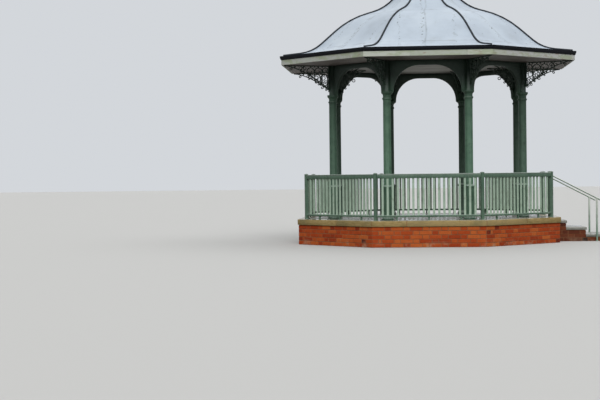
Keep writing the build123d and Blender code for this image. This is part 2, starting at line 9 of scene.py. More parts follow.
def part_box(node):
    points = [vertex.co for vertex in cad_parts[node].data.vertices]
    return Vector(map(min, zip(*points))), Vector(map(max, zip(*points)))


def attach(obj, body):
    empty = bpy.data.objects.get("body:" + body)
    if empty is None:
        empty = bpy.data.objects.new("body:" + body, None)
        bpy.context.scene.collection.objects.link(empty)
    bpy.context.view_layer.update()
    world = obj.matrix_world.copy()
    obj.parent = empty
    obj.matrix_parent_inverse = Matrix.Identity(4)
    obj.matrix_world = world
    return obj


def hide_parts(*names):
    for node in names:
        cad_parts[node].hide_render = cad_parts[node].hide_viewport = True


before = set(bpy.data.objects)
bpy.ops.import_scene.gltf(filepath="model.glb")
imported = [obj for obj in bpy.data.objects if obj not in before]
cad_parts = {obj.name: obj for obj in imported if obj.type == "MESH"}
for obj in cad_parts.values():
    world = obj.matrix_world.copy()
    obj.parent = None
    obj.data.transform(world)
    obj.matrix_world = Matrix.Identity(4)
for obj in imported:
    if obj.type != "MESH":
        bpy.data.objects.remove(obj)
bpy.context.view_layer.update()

# ------------------------------------------------------------
# Brick plinth
# Eight straight walls of orange-red clay facing brick in Flemish bond, five courses high, laid
# in sandy lime mortar with slightly recessed joints. Each brick is a pressed block of its own.
SIDES = 8
HALF_CORNER = radians(22.5)
SIDE_TURNS = [radians(45 * k) for k in range(SIDES)]
ENTRANCE_SIDE = 2
PLINTH_RADIUS = 3.005
PLINTH_FACE = PLINTH_RADIUS * cos(HALF_CORNER)
PLINTH_SIDE = 2 * PLINTH_RADIUS * sin(HALF_CORNER)
COURSE_HEIGHT = 0.084
COURSE_COUNT = 5
JOINT = 0.012
JOINT_RECESS = 0.006
BRICK_DEPTH = 0.102
BRICK_ROUNDING = 0.0035
MOST_SETBACK = 0.0025
BRICK_PERIOD = PLINTH_SIDE / 6
STRETCHER = (BRICK_PERIOD - 2 * JOINT) * 0.67
HEADER = (BRICK_PERIOD - 2 * JOINT) * 0.33
CLOSER = 0.049
MOST_BODY_TONE = 0.75
BURNT_HEADERS = (0, 0, 0, 0, 0.3)

random.seed(11)


def clear_selection():
    if bpy.context.object and bpy.context.object.mode != "OBJECT":
        bpy.ops.object.mode_set(mode="OBJECT")
    bpy.ops.object.select_all(action="DESELECT")


def pick(piece):
    clear_selection()
    piece.select_set(True)
    bpy.context.view_layer.objects.active = piece


def open_mesh(piece):
    """Opens a piece in edit mode with all of it chosen."""
    pick(piece)
    bpy.ops.object.mode_set(mode="EDIT")
    bpy.ops.mesh.select_all(action="SELECT")


def close_mesh():
    bpy.ops.object.mode_set(mode="OBJECT")


def linear(hex_colour):
    """An sRGB hex value as linear red, green, blue and 1."""
    values = [int(hex_colour[n:n + 2], 16) / 255 for n in (1, 3, 5)]
    return [v / 12.92 if v <= 0.04045 else ((v + 0.055) / 1.055) ** 2.4 for v in values] + [1]


def set_inputs(node, inputs):
    """Sets a node's inputs to values or hex colours, or links them to sockets or to nodes."""
    for name, value in inputs.items():
        if isinstance(value, str):
            value = linear(value)
        if isinstance(value, bpy.types.Node):
            value = next(output for output in value.outputs if output.enabled)
        if isinstance(value, bpy.types.NodeSocket):
            node.id_data.links.new(value, node.inputs[name])
        else:
            node.inputs[name].default_value = value


def add_node(tree, kind, inputs=(), **settings):
    """Adds a shader node with its settings, and its inputs by name or in their own order."""
    made = tree.nodes.new("ShaderNode" + kind)
    for name, value in settings.items():
        setattr(made, name, value)
    set_inputs(made, inputs if isinstance(inputs, dict) else dict(enumerate(inputs)))
    return made


def set_ramp(ramp_node, stops):
    """Gives a colour ramp its stops: (place, hex colour)."""
    stretch = ramp_node.color_ramp
    while len(stretch.elements) > 1:
        stretch.elements.remove(stretch.elements[-1])
    stretch.elements[0].position = stops[0][0]
    stretch.elements[0].color = linear(stops[0][1])
    for place, hex_colour in stops[1:]:
        stretch.elements.new(place).color = linear(hex_colour)
    return ramp_node


def new_material(name):
    """A material, what adds nodes to it, its shader, and the place that its patterns follow."""
    material = bpy.data.materials.new(name)
    material.use_nodes = True
    add = partial(add_node, material.node_tree)
    shader = material.node_tree.nodes["Principled BSDF"]
    return material, add, shader, add("TexCoord").outputs["Object"]


def gritted(add, place, under, scale, detail, hollow, raised, relief, depth=0.002, share=0.5):
    """Grit on a colour: darker in its hollows and plain when raised, with its relief as a bump."""
    grit = add("TexNoise", {"Vector": place, "Scale": scale, "Detail": detail})
    grey = set_ramp(add("ValToRGB", [grit]), [hollow, (raised, "#ffffff")])
    colour = add("Mix", {"Factor": share, 6: under, 7: grey}, data_type="RGBA",
                 blend_type="MULTIPLY")
    return colour, add("Bump", {"Height": grit, "Strength": relief, "Distance": depth})


def patched(add, under, over, pattern, begins, full, share):
    """A second colour laid over the first in patches, where a pattern lies above a value."""
    patches = add("MapRange", [pattern, begins, full, 0, share])
    return add("Mix", {"Factor": patches, 6: under, 7: over}, data_type="RGBA")


def settled():
    """The piece just added, its place put into its mesh and its object at the origin."""
    bpy.ops.object.transform_apply(location=True, rotation=True, scale=True)
    return bpy.context.object


def block(size, place, bevel=0, steps=1):
    """A box, from a cube added at its size and place, with its edges softened by a bevel."""
    clear_selection()
    bpy.ops.mesh.primitive_cube_add(size=1, location=place, scale=size)
    piece = settled()
    if bevel:
        open_mesh(piece)
        bpy.ops.mesh.bevel(offset=bevel, segments=steps, affect="EDGES", clamp_overlap=True)
        close_mesh()
    return piece


def copy_at(source, matrix, name=None):
    """A copy of a piece with its own mesh, moved by a matrix."""
    copied = source.copy()
    copied.data = source.data.copy()
    copied.data.transform(matrix)
    if matrix.determinant() < 0:
        copied.data.flip_normals()
    if name:
        copied.name = name
    bpy.context.scene.collection.objects.link(copied)
    return copied


def give_tone(piece, value):
    """Stores one number on the whole piece, from which its material takes its own shade."""
    tone = piece.data.attributes.get("tone") or piece.data.attributes.new("tone", "FLOAT", "POINT")
    tone.data.foreach_set("value", [value] * len(piece.data.vertices))
    return piece


def join(pieces, name):
    """Joins pieces into one, named, with its object at the origin."""
    clear_selection()
    for piece in pieces:
        piece.select_set(True)
    bpy.context.view_layer.objects.active = pieces[0]
    bpy.ops.object.join()
    joined = bpy.context.object
    joined.name = name
    joined.data.name = name
    return joined


def choose_faces(piece, wanted):
    """Opens a piece in edit mode with those of its faces chosen that pass a test."""
    pick(piece)
    bpy.ops.object.mode_set(mode="EDIT")
    bpy.ops.mesh.select_mode(type="FACE")
    bpy.ops.mesh.select_all(action="DESELECT")
    close_mesh()
    for polygon in piece.data.polygons:
        polygon.select = wanted(polygon)
    bpy.ops.object.mode_set(mode="EDIT")


def turned(angle):
    return Matrix.Rotation(angle, 4, "Z")


def moved(x, y, z):
    return Matrix.Translation((x, y, z))


def discard(*patterns):
    """Takes away the pieces that were only modelled to be copied."""
    for pattern in patterns:
        bpy.data.objects.remove(pattern)


def finish(piece, material, slot_name, *nodes):
    """Gives a finished piece its material and body, and hides the CAD nodes it stands for; its
    slot name is not used.
    """
    piece.data.materials.clear()
    piece.data.materials.append(material)
    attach(piece, "root")
    if nodes:
        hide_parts(*nodes)


def merged_copy(node_name, name):
    """A copy of a CAD node's mesh with its loose triangles merged into whole faces."""
    copied = bpy.data.objects.new(name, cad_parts[node_name].data.copy())
    bpy.context.scene.collection.objects.link(copied)
    copied.data.materials.clear()
    open_mesh(copied)
    bpy.ops.mesh.remove_doubles(threshold=0.00005)
    bpy.ops.mesh.dissolve_limited(angle_limit=radians(0.5))
    close_mesh()
    return copied


bricks_by_length = {}


def brick(length):
    """One pressed brick of a given length, modelled once for each length."""
    key = round(length, 4)
    if key not in bricks_by_length:
        size = (length, BRICK_DEPTH, COURSE_HEIGHT - JOINT)
        bricks_by_length[key] = block(size, (0, 0, 0), BRICK_ROUNDING)
    return bricks_by_length[key]


def lay(lengths, start, face, middle, turn, made):
    """Lays bricks left to right along a wall face that looks towards -Y before it is turned."""
    x = start
    for length in lengths:
        setback = random.uniform(0.0, MOST_SETBACK)
        place = moved(x + length / 2, -face + BRICK_DEPTH / 2 + setback, middle)
        laid = copy_at(brick(length), turned(turn) @ place)
        tone = random.random() * MOST_BODY_TONE
        if length < STRETCHER * 0.7:
            tone = min(1, tone + random.choice(BURNT_HEADERS))
        made.append(give_tone(laid, tone))
        x += length + JOINT


three_quarter = PLINTH_SIDE - (HEADER + CLOSER + 2 * JOINT + 5 * BRICK_PERIOD)
plain_course = [STRETCHER, HEADER] * 6
closer_course = [HEADER, CLOSER] + [STRETCHER, HEADER] * 5 + [three_quarter - JOINT]
plinth_bricks = []
for side_turn in SIDE_TURNS:
    for course in range(COURSE_COUNT):
        lengths = closer_course if course % 2 else plain_course
        middle = COURSE_HEIGHT * course + COURSE_HEIGHT / 2
        lay(lengths, -PLINTH_SIDE / 2 + JOINT / 4, PLINTH_FACE, middle, side_turn, plinth_bricks)
plinth = join(plinth_bricks, "plinth_bricks")

# Pressed clay brick: burnt headers, deep red to orange bodies, fine sand on the faces, and pale
# lime bloom here and there in the lowest course.
def pressed_clay(name, fired_colours, most_bloom):
    material, add, shader, place = new_material(name)
    tone = add("Attribute", attribute_name="tone").outputs["Fac"]
    cloud = add("TexNoise", {"Vector": place, "Scale": 13.0, "Detail": 5.0})
    shade = add("Math", [cloud, 0.5, -0.25], operation="MULTIPLY_ADD")
    body = add("Math", [tone, shade], operation="ADD")
    fired = set_ramp(add("ValToRGB", [body]), fired_colours)
    sandy, sand = gritted(add, place, fired, 420.0, 3.0, (0.36, "#a8a8a8"), 0.6, 0.35)
    height = add("SeparateXYZ", [place]).outputs["Z"]
    low_down = add("MapRange", [height, 0.14, 0.0])
    spots = add("TexNoise", {"Vector": place, "Scale": 5.5, "Detail": 6.0, "Roughness": 0.62})
    bloom_spots = add("MapRange", [spots, 0.5, 0.66, 0, most_bloom])
    bloom = add("Math", [low_down, bloom_spots], operation="MULTIPLY", use_clamp=True)
    face = add("Mix", {"Factor": bloom, 6: sandy, 7: "#c2a384"}, data_type="RGBA")
    set_inputs(shader, {"Base Color": face, "Roughness": 0.88, "Specular IOR Level": 0.3,
                        "Normal": sand})
    return material


clay = pressed_clay("pressed_clay_brick",
                    [(0.0, "#d06c30"), (0.3, "#c25420"), (0.6, "#b24416"), (0.85, "#963410"),
                     (0.96, "#6a2a16"), (1.0, "#48241d")], 0.8)
finish(plinth, clay, "red_brick")

# Sandy lime mortar: the body of the wall behind the bricks, struck back a little at the joints.
mortar, add, shader, place = new_material("sandy_lime_mortar")
patch = add("TexNoise", {"Vector": place, "Scale": 4.0, "Detail": 5.0})
lime = set_ramp(add("ValToRGB", [patch]), [(0.3, "#8a5a3a"), (0.6, "#a06f4a"), (0.8, "#bd9a70")])
sandy, sand = gritted(add, place, lime, 300.0, 4.0, (0.3, "#8a8a8a"), 0.7, 0.5, 0.003)
set_inputs(shader, {"Base Color": sandy, "Roughness": 0.95, "Normal": sand})


def mortar_body(node_name, name, recess):
    """The mass behind a face of bricks or stones: the CAD solid drawn in by the joint's recess."""
    body_piece = merged_copy(node_name, name)
    lowest = min(v.co.z for v in body_piece.data.vertices)
    open_mesh(body_piece)
    bpy.ops.transform.shrink_fatten(value=-recess, use_even_offset=True)
    close_mesh()
    if lowest < 0.001:
        choose_faces(body_piece, lambda face: face.normal.z < -0.9 and face.center.z < 0.020)
        bpy.ops.transform.translate(value=(0, 0, -recess))
        close_mesh()
    return body_piece


plinth_core = mortar_body("brick_plinth", "plinth_mortar", JOINT_RECESS)
finish(plinth_core, mortar, "red_brick", "brick_plinth")

# ------------------------------------------------------------
# Steps on the entrance side
# Stepped brickwork of the same brick against the plinth, carrying three cast slabs, each laid
# loose on a mortar bed with a small nosing in front and at the sides.
STEP_GAUGE = 0.079
STEP_HALF_WIDTH = 0.600
STEP_GOING = 0.421
STEP_RISE = 0.150
STEP_OF_COURSE = (0, 1, 1, 2, 2)
LEAST_FRONT_CUT, LEAST_SIDE_CUT = 0.03, 0.02
bottom_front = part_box("step_brickwork")[1].x
step_fronts = [bottom_front, bottom_front - STEP_GOING, bottom_front - 2 * STEP_GOING]
entrance_turn = SIDE_TURNS[ENTRANCE_SIDE]


def alternate(run, kind, least):
    """Lengths of headers and stretchers in turn that fill a run of wall, and the room left."""
    lengths = []
    while run > least:
        lengths.append(min(kind, run))
        run -= lengths[-1] + JOINT
        kind = HEADER if kind == STRETCHER else STRETCHER
    return lengths, run


step_bricks = []
for course, step in enumerate(STEP_OF_COURSE):
    middle = STEP_GAUGE * course + STEP_GAUGE / 2
    front = step_fronts[step]
    across = 2 * (STEP_HALF_WIDTH - BRICK_DEPTH - JOINT)
    kinds = (HEADER, STRETCHER) if course % 2 else (STRETCHER, HEADER)
    lengths, room = alternate(across, kinds[0], LEAST_FRONT_CUT)
    if room > -JOINT:
        lengths[-1] += room + JOINT
    lay(lengths, -across / 2, front, middle, entrance_turn, step_bricks)
    run = front - PLINTH_FACE
    lengths, room = alternate(run, kinds[1], LEAST_SIDE_CUT)
    x = PLINTH_FACE + run - sum(lengths) - JOINT * (len(lengths) - 1)
    lay(lengths[::-1], x, STEP_HALF_WIDTH, middle, 0, step_bricks)
    lay(lengths, -PLINTH_FACE - run, STEP_HALF_WIDTH, middle, pi, step_bricks)
stepped = join(step_bricks, "step_bricks")
# The same clay brick in darker colours on the steps.
dark_step_clay = pressed_clay("dark_step_clay_brick",
                         [(0.0, "#7a4126"), (0.3, "#6b351f"), (0.6, "#5c2c1a"),
                          (0.85, "#4c2518"), (1.0, "#34201a")], 0.3)
finish(stepped, dark_step_clay, "red_brick")
step_core = mortar_body("step_brickwork", "step_mortar", JOINT_RECESS)
finish(step_core, mortar, "red_brick", "step_brickwork")


def smooth(piece, degrees):
    pick(piece)
    bpy.ops.object.shade_smooth_by_angle(angle=radians(degrees))


# Cast slabs: grey concrete worn smooth, patchy where it is damp, with a rounded nosing.
TREAD_THICKNESS = 0.055
NOSING = 0.020
tread_low, tread_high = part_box("step_treads")
slab_pieces = []
tread_backs = [step_fronts[1], step_fronts[2], tread_low.x]
for number, (front, back) in enumerate(zip(step_fronts, tread_backs), 1):
    size = (front + NOSING - back, tread_high.y - tread_low.y, TREAD_THICKNESS)
    middle = (back + size[0] / 2, 0, STEP_RISE * number - TREAD_THICKNESS / 2)
    slab_pieces.append(give_tone(block(size, middle, 0.006, 2), random.random()))
slabs = join(slab_pieces, "tread_slabs")
smooth(slabs, 40)
concrete, add, shader, place = new_material("cast_concrete_slab")
damp = add("TexNoise", {"Vector": place, "Scale": 3.2, "Detail": 6.0})
worn = set_ramp(add("ValToRGB", [damp]), [(0.3, "#6f7068"), (0.5, "#8b8b82"), (0.7, "#a3a298")])
wet = add("MapRange", [damp, 0.44, 0.58, 0.07, 0.6])
pitted, pits = gritted(add, place, worn, 190.0, 4.0, (0.32, "#7c7c7c"), 0.6, 0.05)
set_inputs(shader, {"Base Color": pitted, "Roughness": wet, "Normal": pits})
finish(slabs, concrete, "tread_slab", "step_treads")

# ------------------------------------------------------------
# Coping and deck
# Long blocks of buff sandstone bedded on the brickwork, mitred at the corners, with a worn,
# rounded edge; inside them lies the smooth concrete deck.
COPING_FACE = 3.028 * cos(HALF_CORNER)
COPING_DEPTH = (3.028 - 2.670) * cos(HALF_CORNER)
COPING_LOW, COPING_HIGH = 0.420, 0.540
STONE_REACH = 1.25
STONE_JOINT = 0.007
STONE_ROUNDING = 0.009
STONE_JOINTS = [(-0.450,), (0.070,)] * 4


def mitre(piece, gap=0.0, ends=(-1, 1)):
    """Cuts a piece that looks towards -Y on the slant where it meets the next sides."""
    for end in ends:
        open_mesh(piece)
        normal = (cos(HALF_CORNER) * end, sin(HALF_CORNER), 0)
        point = [-part * gap for part in normal]
        bpy.ops.mesh.bisect(plane_co=point, plane_no=normal, use_fill=True, clear_outer=True)
        close_mesh()


def soften(piece, width, steps=2, sharper_than=30):
    """Rounds those edges of a piece that turn by more than a number of degrees."""
    rounding = piece.modifiers.new("softened edges", "BEVEL")
    rounding.width = width
    rounding.segments = steps
    rounding.limit_method = "ANGLE"
    rounding.angle_limit = radians(sharper_than)
    pick(piece)
    bpy.ops.object.modifier_apply(modifier=rounding.name)


def laid_round(joints_by_side, reach, gap, corner_gap, face, depth, low, high, rounding):
    """Pieces laid end to end along every side and mitred at the corners, each of its own tone."""
    laid = []
    for side_turn, joints in zip(SIDE_TURNS, joints_by_side):
        edges = [-reach, *joints, reach]
        for left, right in zip(edges, edges[1:]):
            piece = block((right - left - gap, depth, high - low),
                          ((left + right) / 2, -face + depth / 2, (low + high) / 2))
            mitre(piece, corner_gap)
            soften(piece, rounding)
            piece.data.transform(turned(side_turn))
            laid.append(give_tone(piece, random.random()))
    return laid


stones = join(laid_round(STONE_JOINTS, STONE_REACH, STONE_JOINT, STONE_JOINT / 2, COPING_FACE,
                         COPING_DEPTH, COPING_LOW, COPING_HIGH, STONE_ROUNDING), "coping_stones")
smooth(stones, 35)

# Buff sandstone: fine bedding lines, rust-brown and grey patches, green algae in patches, and
# upper faces that are paler, partly washed by rain and partly a painted highlight, and shine where
# they are wet.
sandstone, add, shader, place = new_material("buff_sandstone")
tone = add("Attribute", attribute_name="tone").outputs["Fac"]
bedding_place = add("Mapping", {"Vector": place, "Scale": (1, 1, 6)})
bedding = add("TexNoise", {"Vector": bedding_place, "Scale": 9.0, "Detail": 8.0})
mixed_tone = add("Math", [tone, 0.22, bedding], operation="MULTIPLY_ADD")
bed_colour = set_ramp(add("ValToRGB", [mixed_tone]),
                      [(0.3, "#877245"), (0.5, "#a38b55"), (0.66, "#b79f69"), (0.85, "#a18c60")])
facing = add("NewGeometry").outputs["Normal"]
upward = add("SeparateXYZ", [facing]).outputs["Z"]
rain_and_highlight_up = add("MapRange", [upward, 0.25, 0.95])
worn_smooth = add("MapRange", [rain_and_highlight_up, 0, 1, 0.3, 0.04])
grained, grain = gritted(add, place, bed_colour, 260.0, 3.0, (0.3, "#8c8c8c"), 0.62, worn_smooth,
                         share=0.45)
algae = add("TexNoise", {"Vector": place, "Scale": 2.6, "Detail": 7.0})
greened = patched(add, grained, "#5f6040", algae, 0.5, 0.75, 0.55)
# Upward faces paler: partly washed by rain, partly a painted highlight.
rain_and_highlight = add("Math", [rain_and_highlight_up, 0.6], operation="MULTIPLY")
topped = add("Mix", {"Factor": rain_and_highlight, 6: greened, 7: "#b3b1a6"}, data_type="RGBA")
puddles = add("TexNoise", {"Vector": place, "Scale": 1.4, "Detail": 3.0})
puddle = add("MapRange", [puddles, 0.42, 0.56, 0.06, 0.5])
wet = add("Mix", {"Factor": rain_and_highlight_up, "A": 0.85, "B": puddle}, data_type="FLOAT")
set_inputs(shader, {"Base Color": topped, "Roughness": wet, "Normal": grain})
finish(stones, sandstone, "coping_stone")
coping_core = mortar_body("stone_coping", "coping_mortar", 0.005)
finish(coping_core, mortar, "coping_stone", "stone_coping")

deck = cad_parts["deck_slab"]
deck.data.materials.clear()
deck.data.materials.append(concrete)

# ------------------------------------------------------------
# Railing
# Wrought bars painted green: square corner posts, and between each two a panel of flat slats
# welded to a top and a bottom rail that stands on three short legs.
RAIL_RADIUS = 2.820
RAIL_LINE = RAIL_RADIUS * cos(HALF_CORNER)
RAIL_REACH = 1.2
POST_SIZE = 0.070
DECK_Z = 0.540
TOP_RAIL_TOP, TOP_RAIL_HEIGHT, TOP_RAIL_DEPTH = 1.490, 0.090, 0.044
CAPPING_HEIGHT, CAPPING_DEPTH = 0.020, 0.056
BOTTOM_RAIL_LOW, BOTTOM_RAIL_HEIGHT, BOTTOM_RAIL_DEPTH = 0.610, 0.040, 0.044
SLAT_COUNT, SLAT_WIDTH, SLAT_DEPTH = 19, 0.044, 0.022
HALF_SPAN = RAIL_RADIUS * sin(HALF_CORNER) - POST_SIZE / 2 / cos(HALF_CORNER)
SLAT_PITCH = (2 * (HALF_SPAN - 0.083) - SLAT_WIDTH) / (SLAT_COUNT - 1)
LEG_PITCH, LEG_SIZE, LEG_FOOT_SIZE, LEG_FOOT_HEIGHT = 0.650, 0.034, 0.043, 0.008
LET_IN = 0.004

# Gloss paint over iron: grey-green on the slats and deeper green on the posts and rails, chalked
# by weather, with brush streaks, rain dirt and small rusty chips. Its upward faces are paler,
# partly washed by rain and partly a painted highlight. Above a height, and by the tone a piece is
# given, it turns towards near-black as painted shade, standing for the shade under the eaves.
def green_paint(name, fresh, faded, dirt, roughness, eaves_shade_from=9.0,
                rain_and_highlight_to="#a9b8ac", most_rain_and_highlight=0.65):
    material, add, shader, place = new_material(name)
    streak_place = add("Mapping", {"Vector": place, "Scale": (30, 30, 2)})
    streak = add("TexNoise", {"Vector": streak_place, "Scale": 1.0, "Detail": 5.0})
    chalk = add("TexNoise", {"Vector": place, "Scale": 3.5, "Detail": 6.0})
    both = add("Math", [streak, 0.5, chalk], operation="MULTIPLY_ADD")
    paint = set_ramp(add("ValToRGB", [both]), [(0.5, fresh), (0.72, faded), (0.95, fresh)])
    grime = add("TexNoise", {"Vector": place, "Scale": 9.0, "Detail": 8.0, "Roughness": 0.6})
    dirty = patched(add, paint, dirt, grime, 0.55, 0.72, 0.6)
    chips = add("TexNoise", {"Vector": place, "Scale": 38.0, "Detail": 2.0})
    chipped = patched(add, dirty, "#5a3b2a", chips, 0.74, 0.77, 0.7)
    height = add("SeparateXYZ", [place]).outputs["Z"]
    # Painted shade: from this height up the paint turns towards near-black, for the shade under
    # the eaves.
    eaves_shade = add("MapRange", [height, eaves_shade_from, eaves_shade_from + 0.7, 0, 0.82],
                    interpolation_type="SMOOTHSTEP")
    # A piece's tone adds the same painted shade.
    tone = add("Attribute", attribute_name="tone").outputs["Fac"]
    shaded_dark_share = add("Math", [eaves_shade, tone], operation="MAXIMUM")
    shaded_dark = add("Mix", {"Factor": shaded_dark_share, 6: chipped, 7: "#141d19"}, data_type="RGBA")
    facing = add("NewGeometry").outputs["Normal"]
    upward = add("SeparateXYZ", [facing]).outputs["Z"]
    # Upward faces paler: partly washed by rain, partly a painted highlight.
    rain_and_highlight = add("MapRange", [upward, 0.08, 0.42, 0, most_rain_and_highlight])
    rained_on = add("MapRange", [eaves_shade, 0, 0.3, 1.0, 0.0])
    rain_and_highlight_share = add("Math", [rain_and_highlight, rained_on], operation="MULTIPLY")
    topped = add("Mix", {"Factor": rain_and_highlight_share, 6: shaded_dark, 7: rain_and_highlight_to}, data_type="RGBA")
    wet = add("MapRange", [upward, 0.08, 0.42, roughness, 0.2])
    brushed = add("Bump", {"Height": streak, "Strength": 0.12, "Distance": 0.002})
    set_inputs(shader, {"Base Color": topped, "Roughness": wet, "Specular IOR Level": 0.35,
                        "Normal": brushed})
    return material


slat_paint = green_paint("chalked_slat_paint", "#97b09b", "#aec4b0", "#74846d", 0.6)
rail_paint = green_paint("green_rail_paint", "#445f4f", "#58715f", "#364334", 0.55,
                         rain_and_highlight_to="#c3cfc5")


def upright(x, y, low, high, width, depth, bevel=0):
    return block((width, depth, high - low), (x, y, (low + high) / 2), bevel)


def rail_bar(span, ends, low, high, depth, rounding=0.004):
    """A rail along X on the railing's line, cut on the slant at its ends by a corner post."""
    left, right = span
    bar = block((right - left, depth, high - low),
                ((left + right) / 2, -RAIL_LINE, (low + high) / 2))
    mitre(bar, POST_SIZE / 2, ends)
    soften(bar, rounding, 3)
    return bar


def panel_parts(span, ends, slat_places, leg_places):
    """The slats, and the rails with their legs, of one stretch of railing."""
    slat_low = BOTTOM_RAIL_LOW + BOTTOM_RAIL_HEIGHT - LET_IN
    slat_high = TOP_RAIL_TOP - TOP_RAIL_HEIGHT + LET_IN
    pattern = upright(0, -RAIL_LINE, slat_low, slat_high, SLAT_WIDTH, SLAT_DEPTH, 0.004)
    slats = [copy_at(pattern, moved(x, 0, 0)) for x in slat_places]
    discard(pattern)
    top_low = TOP_RAIL_TOP - TOP_RAIL_HEIGHT
    capping_low = TOP_RAIL_TOP - CAPPING_HEIGHT
    bars = [
        rail_bar(span, ends, top_low, capping_low + 0.002, TOP_RAIL_DEPTH),
        rail_bar(span, ends, capping_low, TOP_RAIL_TOP, CAPPING_DEPTH, 0.0095),
        rail_bar(span, ends, BOTTOM_RAIL_LOW, BOTTOM_RAIL_LOW + BOTTOM_RAIL_HEIGHT,
                 BOTTOM_RAIL_DEPTH),
    ]
    for x in leg_places:
        bars.append(upright(x, -RAIL_LINE, DECK_Z, BOTTOM_RAIL_LOW + LET_IN, LEG_SIZE, LEG_SIZE,
                            0.003))
        bars.append(upright(x, -RAIL_LINE, DECK_Z, DECK_Z + LEG_FOOT_HEIGHT, LEG_FOOT_SIZE,
                            LEG_FOOT_SIZE, 0.003))
    return join(slats, "slats"), join(bars, "bars")


slat_places = [SLAT_PITCH * (n - (SLAT_COUNT - 1) / 2) for n in range(SLAT_COUNT)]
slats, bars = panel_parts((-RAIL_REACH, RAIL_REACH), (-1, 1), slat_places,
                          (-LEG_PITCH, 0, LEG_PITCH))
panel_turns = SIDE_TURNS[:ENTRANCE_SIDE] + SIDE_TURNS[ENTRANCE_SIDE + 1:]
for number, side_turn in enumerate(panel_turns, 1):
    panel_slats = copy_at(slats, turned(side_turn), f"railing_slats_{number}")
    finish(panel_slats, slat_paint, "railing_paint", f"railing_panel_{number}")
    panel_bars = copy_at(bars, turned(side_turn), f"railing_rails_{number}")
    finish(panel_bars, rail_paint, "railing_paint", f"railing_panel_{number}")
    smooth(panel_bars, 35)
discard(slats, bars)

# Corner posts: square tube with a low pyramid cap and a welded foot plate.
POST_TOP = 1.515
CAP_HEIGHT, CAP_SLOPE_HEIGHT, FOOT_PLATE_HEIGHT = 0.018, 0.012, 0.012
TUBE_SIZE = POST_SIZE - 0.006
cap_low = POST_TOP - CAP_HEIGHT
shaft = upright(0, 0, DECK_Z, cap_low, TUBE_SIZE, TUBE_SIZE, 0.004)
cap = upright(0, 0, cap_low, POST_TOP - CAP_SLOPE_HEIGHT, POST_SIZE, POST_SIZE)


def draw_on(step):
    """Draws the chosen faces of an opened piece on by one step."""
    bpy.ops.mesh.extrude_region_move(TRANSFORM_OT_translate={"value": step})


choose_faces(cap, lambda face: face.normal.z > 0.9)
draw_on((0, 0, CAP_SLOPE_HEIGHT))
bpy.ops.transform.resize(value=(0.35, 0.35, 1), center_override=(0, 0, POST_TOP))
close_mesh()
foot = upright(0, 0, DECK_Z, DECK_Z + FOOT_PLATE_HEIGHT, POST_SIZE, POST_SIZE, 0.003)
post = join([shaft, cap, foot], "post")
corner_posts = join([copy_at(post, turned(side_turn - pi / 2 + HALF_CORNER)
                             @ moved(RAIL_RADIUS, 0, 0)) for side_turn in SIDE_TURNS],
                    "corner_posts")
finish(corner_posts, rail_paint, "railing_paint", "railing_posts")

# Short railing on each side of the entrance, from the corner post to the gate post.
GATE_Y = 0.650
GATE_SLAT_COUNT = 3
gate_pitch = (RAIL_RADIUS * sin(HALF_CORNER) - GATE_Y) / (GATE_SLAT_COUNT + 1)
gate_slats = [GATE_Y + gate_pitch * (n + 1) for n in range(GATE_SLAT_COUNT)]
slats, bars = panel_parts((GATE_Y + POST_SIZE / 2, RAIL_REACH), (1,), gate_slats, ())
bars = join([bars, copy_at(post, moved(GATE_Y, -RAIL_LINE, 0))], "bars")
for name, mirrored in (("gate_railing_back", 1), ("gate_railing_front", -1)):
    place_there = turned(entrance_turn) @ Matrix.Diagonal((mirrored, 1, 1, 1))
    side_slats = copy_at(slats, place_there, name.replace("railing", "slats"))
    finish(side_slats, slat_paint, "railing_paint", name)
    side_bars = copy_at(bars, place_there, name.replace("railing", "rails"))
    finish(side_bars, rail_paint, "railing_paint", name)
discard(slats, bars, post)

# ------------------------------------------------------------
# Handrails of the steps
# Galvanised tube painted green, from the gate post down past an upright beside the steps, its
# lower end closed with a domed plug; a sleeve joins the two tubes.
HANDRAIL_RADIUS = 0.015
HANDRAIL_POST_RADIUS = 0.021
HANDRAIL_SLOPE = 0.525
HANDRAIL_POST_TOP = 0.925
HANDRAIL_PAST_POST = 0.130
SLEEVE_HALF_LENGTH = 0.030
FLANGE_RADIUS, FLANGE_THICKNESS = 0.040, 0.006
TUBE_LET_IN = 0.010
handrail_post_x = step_fronts[0] - 0.192
handrail_start_x = RAIL_LINE + POST_SIZE / 2 - TUBE_LET_IN
handrail_end_x = handrail_post_x + HANDRAIL_PAST_POST

# The same paint as the slats, its upward faces paler: partly worn by hands and rain, partly a
# painted highlight.
handrail_paint = green_paint("worn_handrail_paint", "#6d8876", "#859e8c", "#4b5a48", 0.5,
                             rain_and_highlight_to="#e2e2da", most_rain_and_highlight=0.95)


def on_handrail(x, y):
    return x, y, HANDRAIL_POST_TOP + (handrail_post_x - x) * HANDRAIL_SLOPE


def close_outwards():
    """Turns the faces of an opened piece outwards and closes it."""
    bpy.ops.mesh.select_all(action="SELECT")
    bpy.ops.mesh.normals_make_consistent(inside=False)
    close_mesh()


def drawn_tube(start, end, radius):
    """A round tube drawn from a disc at its start to a domed end."""
    run = Vector(end) - Vector(start)
    clear_selection()
    bpy.ops.mesh.primitive_circle_add(vertices=20, radius=radius, fill_type="NGON",
                                      location=start,
                                      rotation=run.to_track_quat("Z", "Y").to_euler())
    tube = settled()
    open_mesh(tube)
    draw_on(run)
    here = Vector(end)
    onward = run.normalized() * radius
    for share, grow in ((0.15, 0.90), (0.14, 0.78), (0.10, 0.55)):
        draw_on(onward * share)
        here += onward * share
        bpy.ops.transform.resize(value=(grow, grow, grow), center_override=here)
    close_outwards()
    return tube


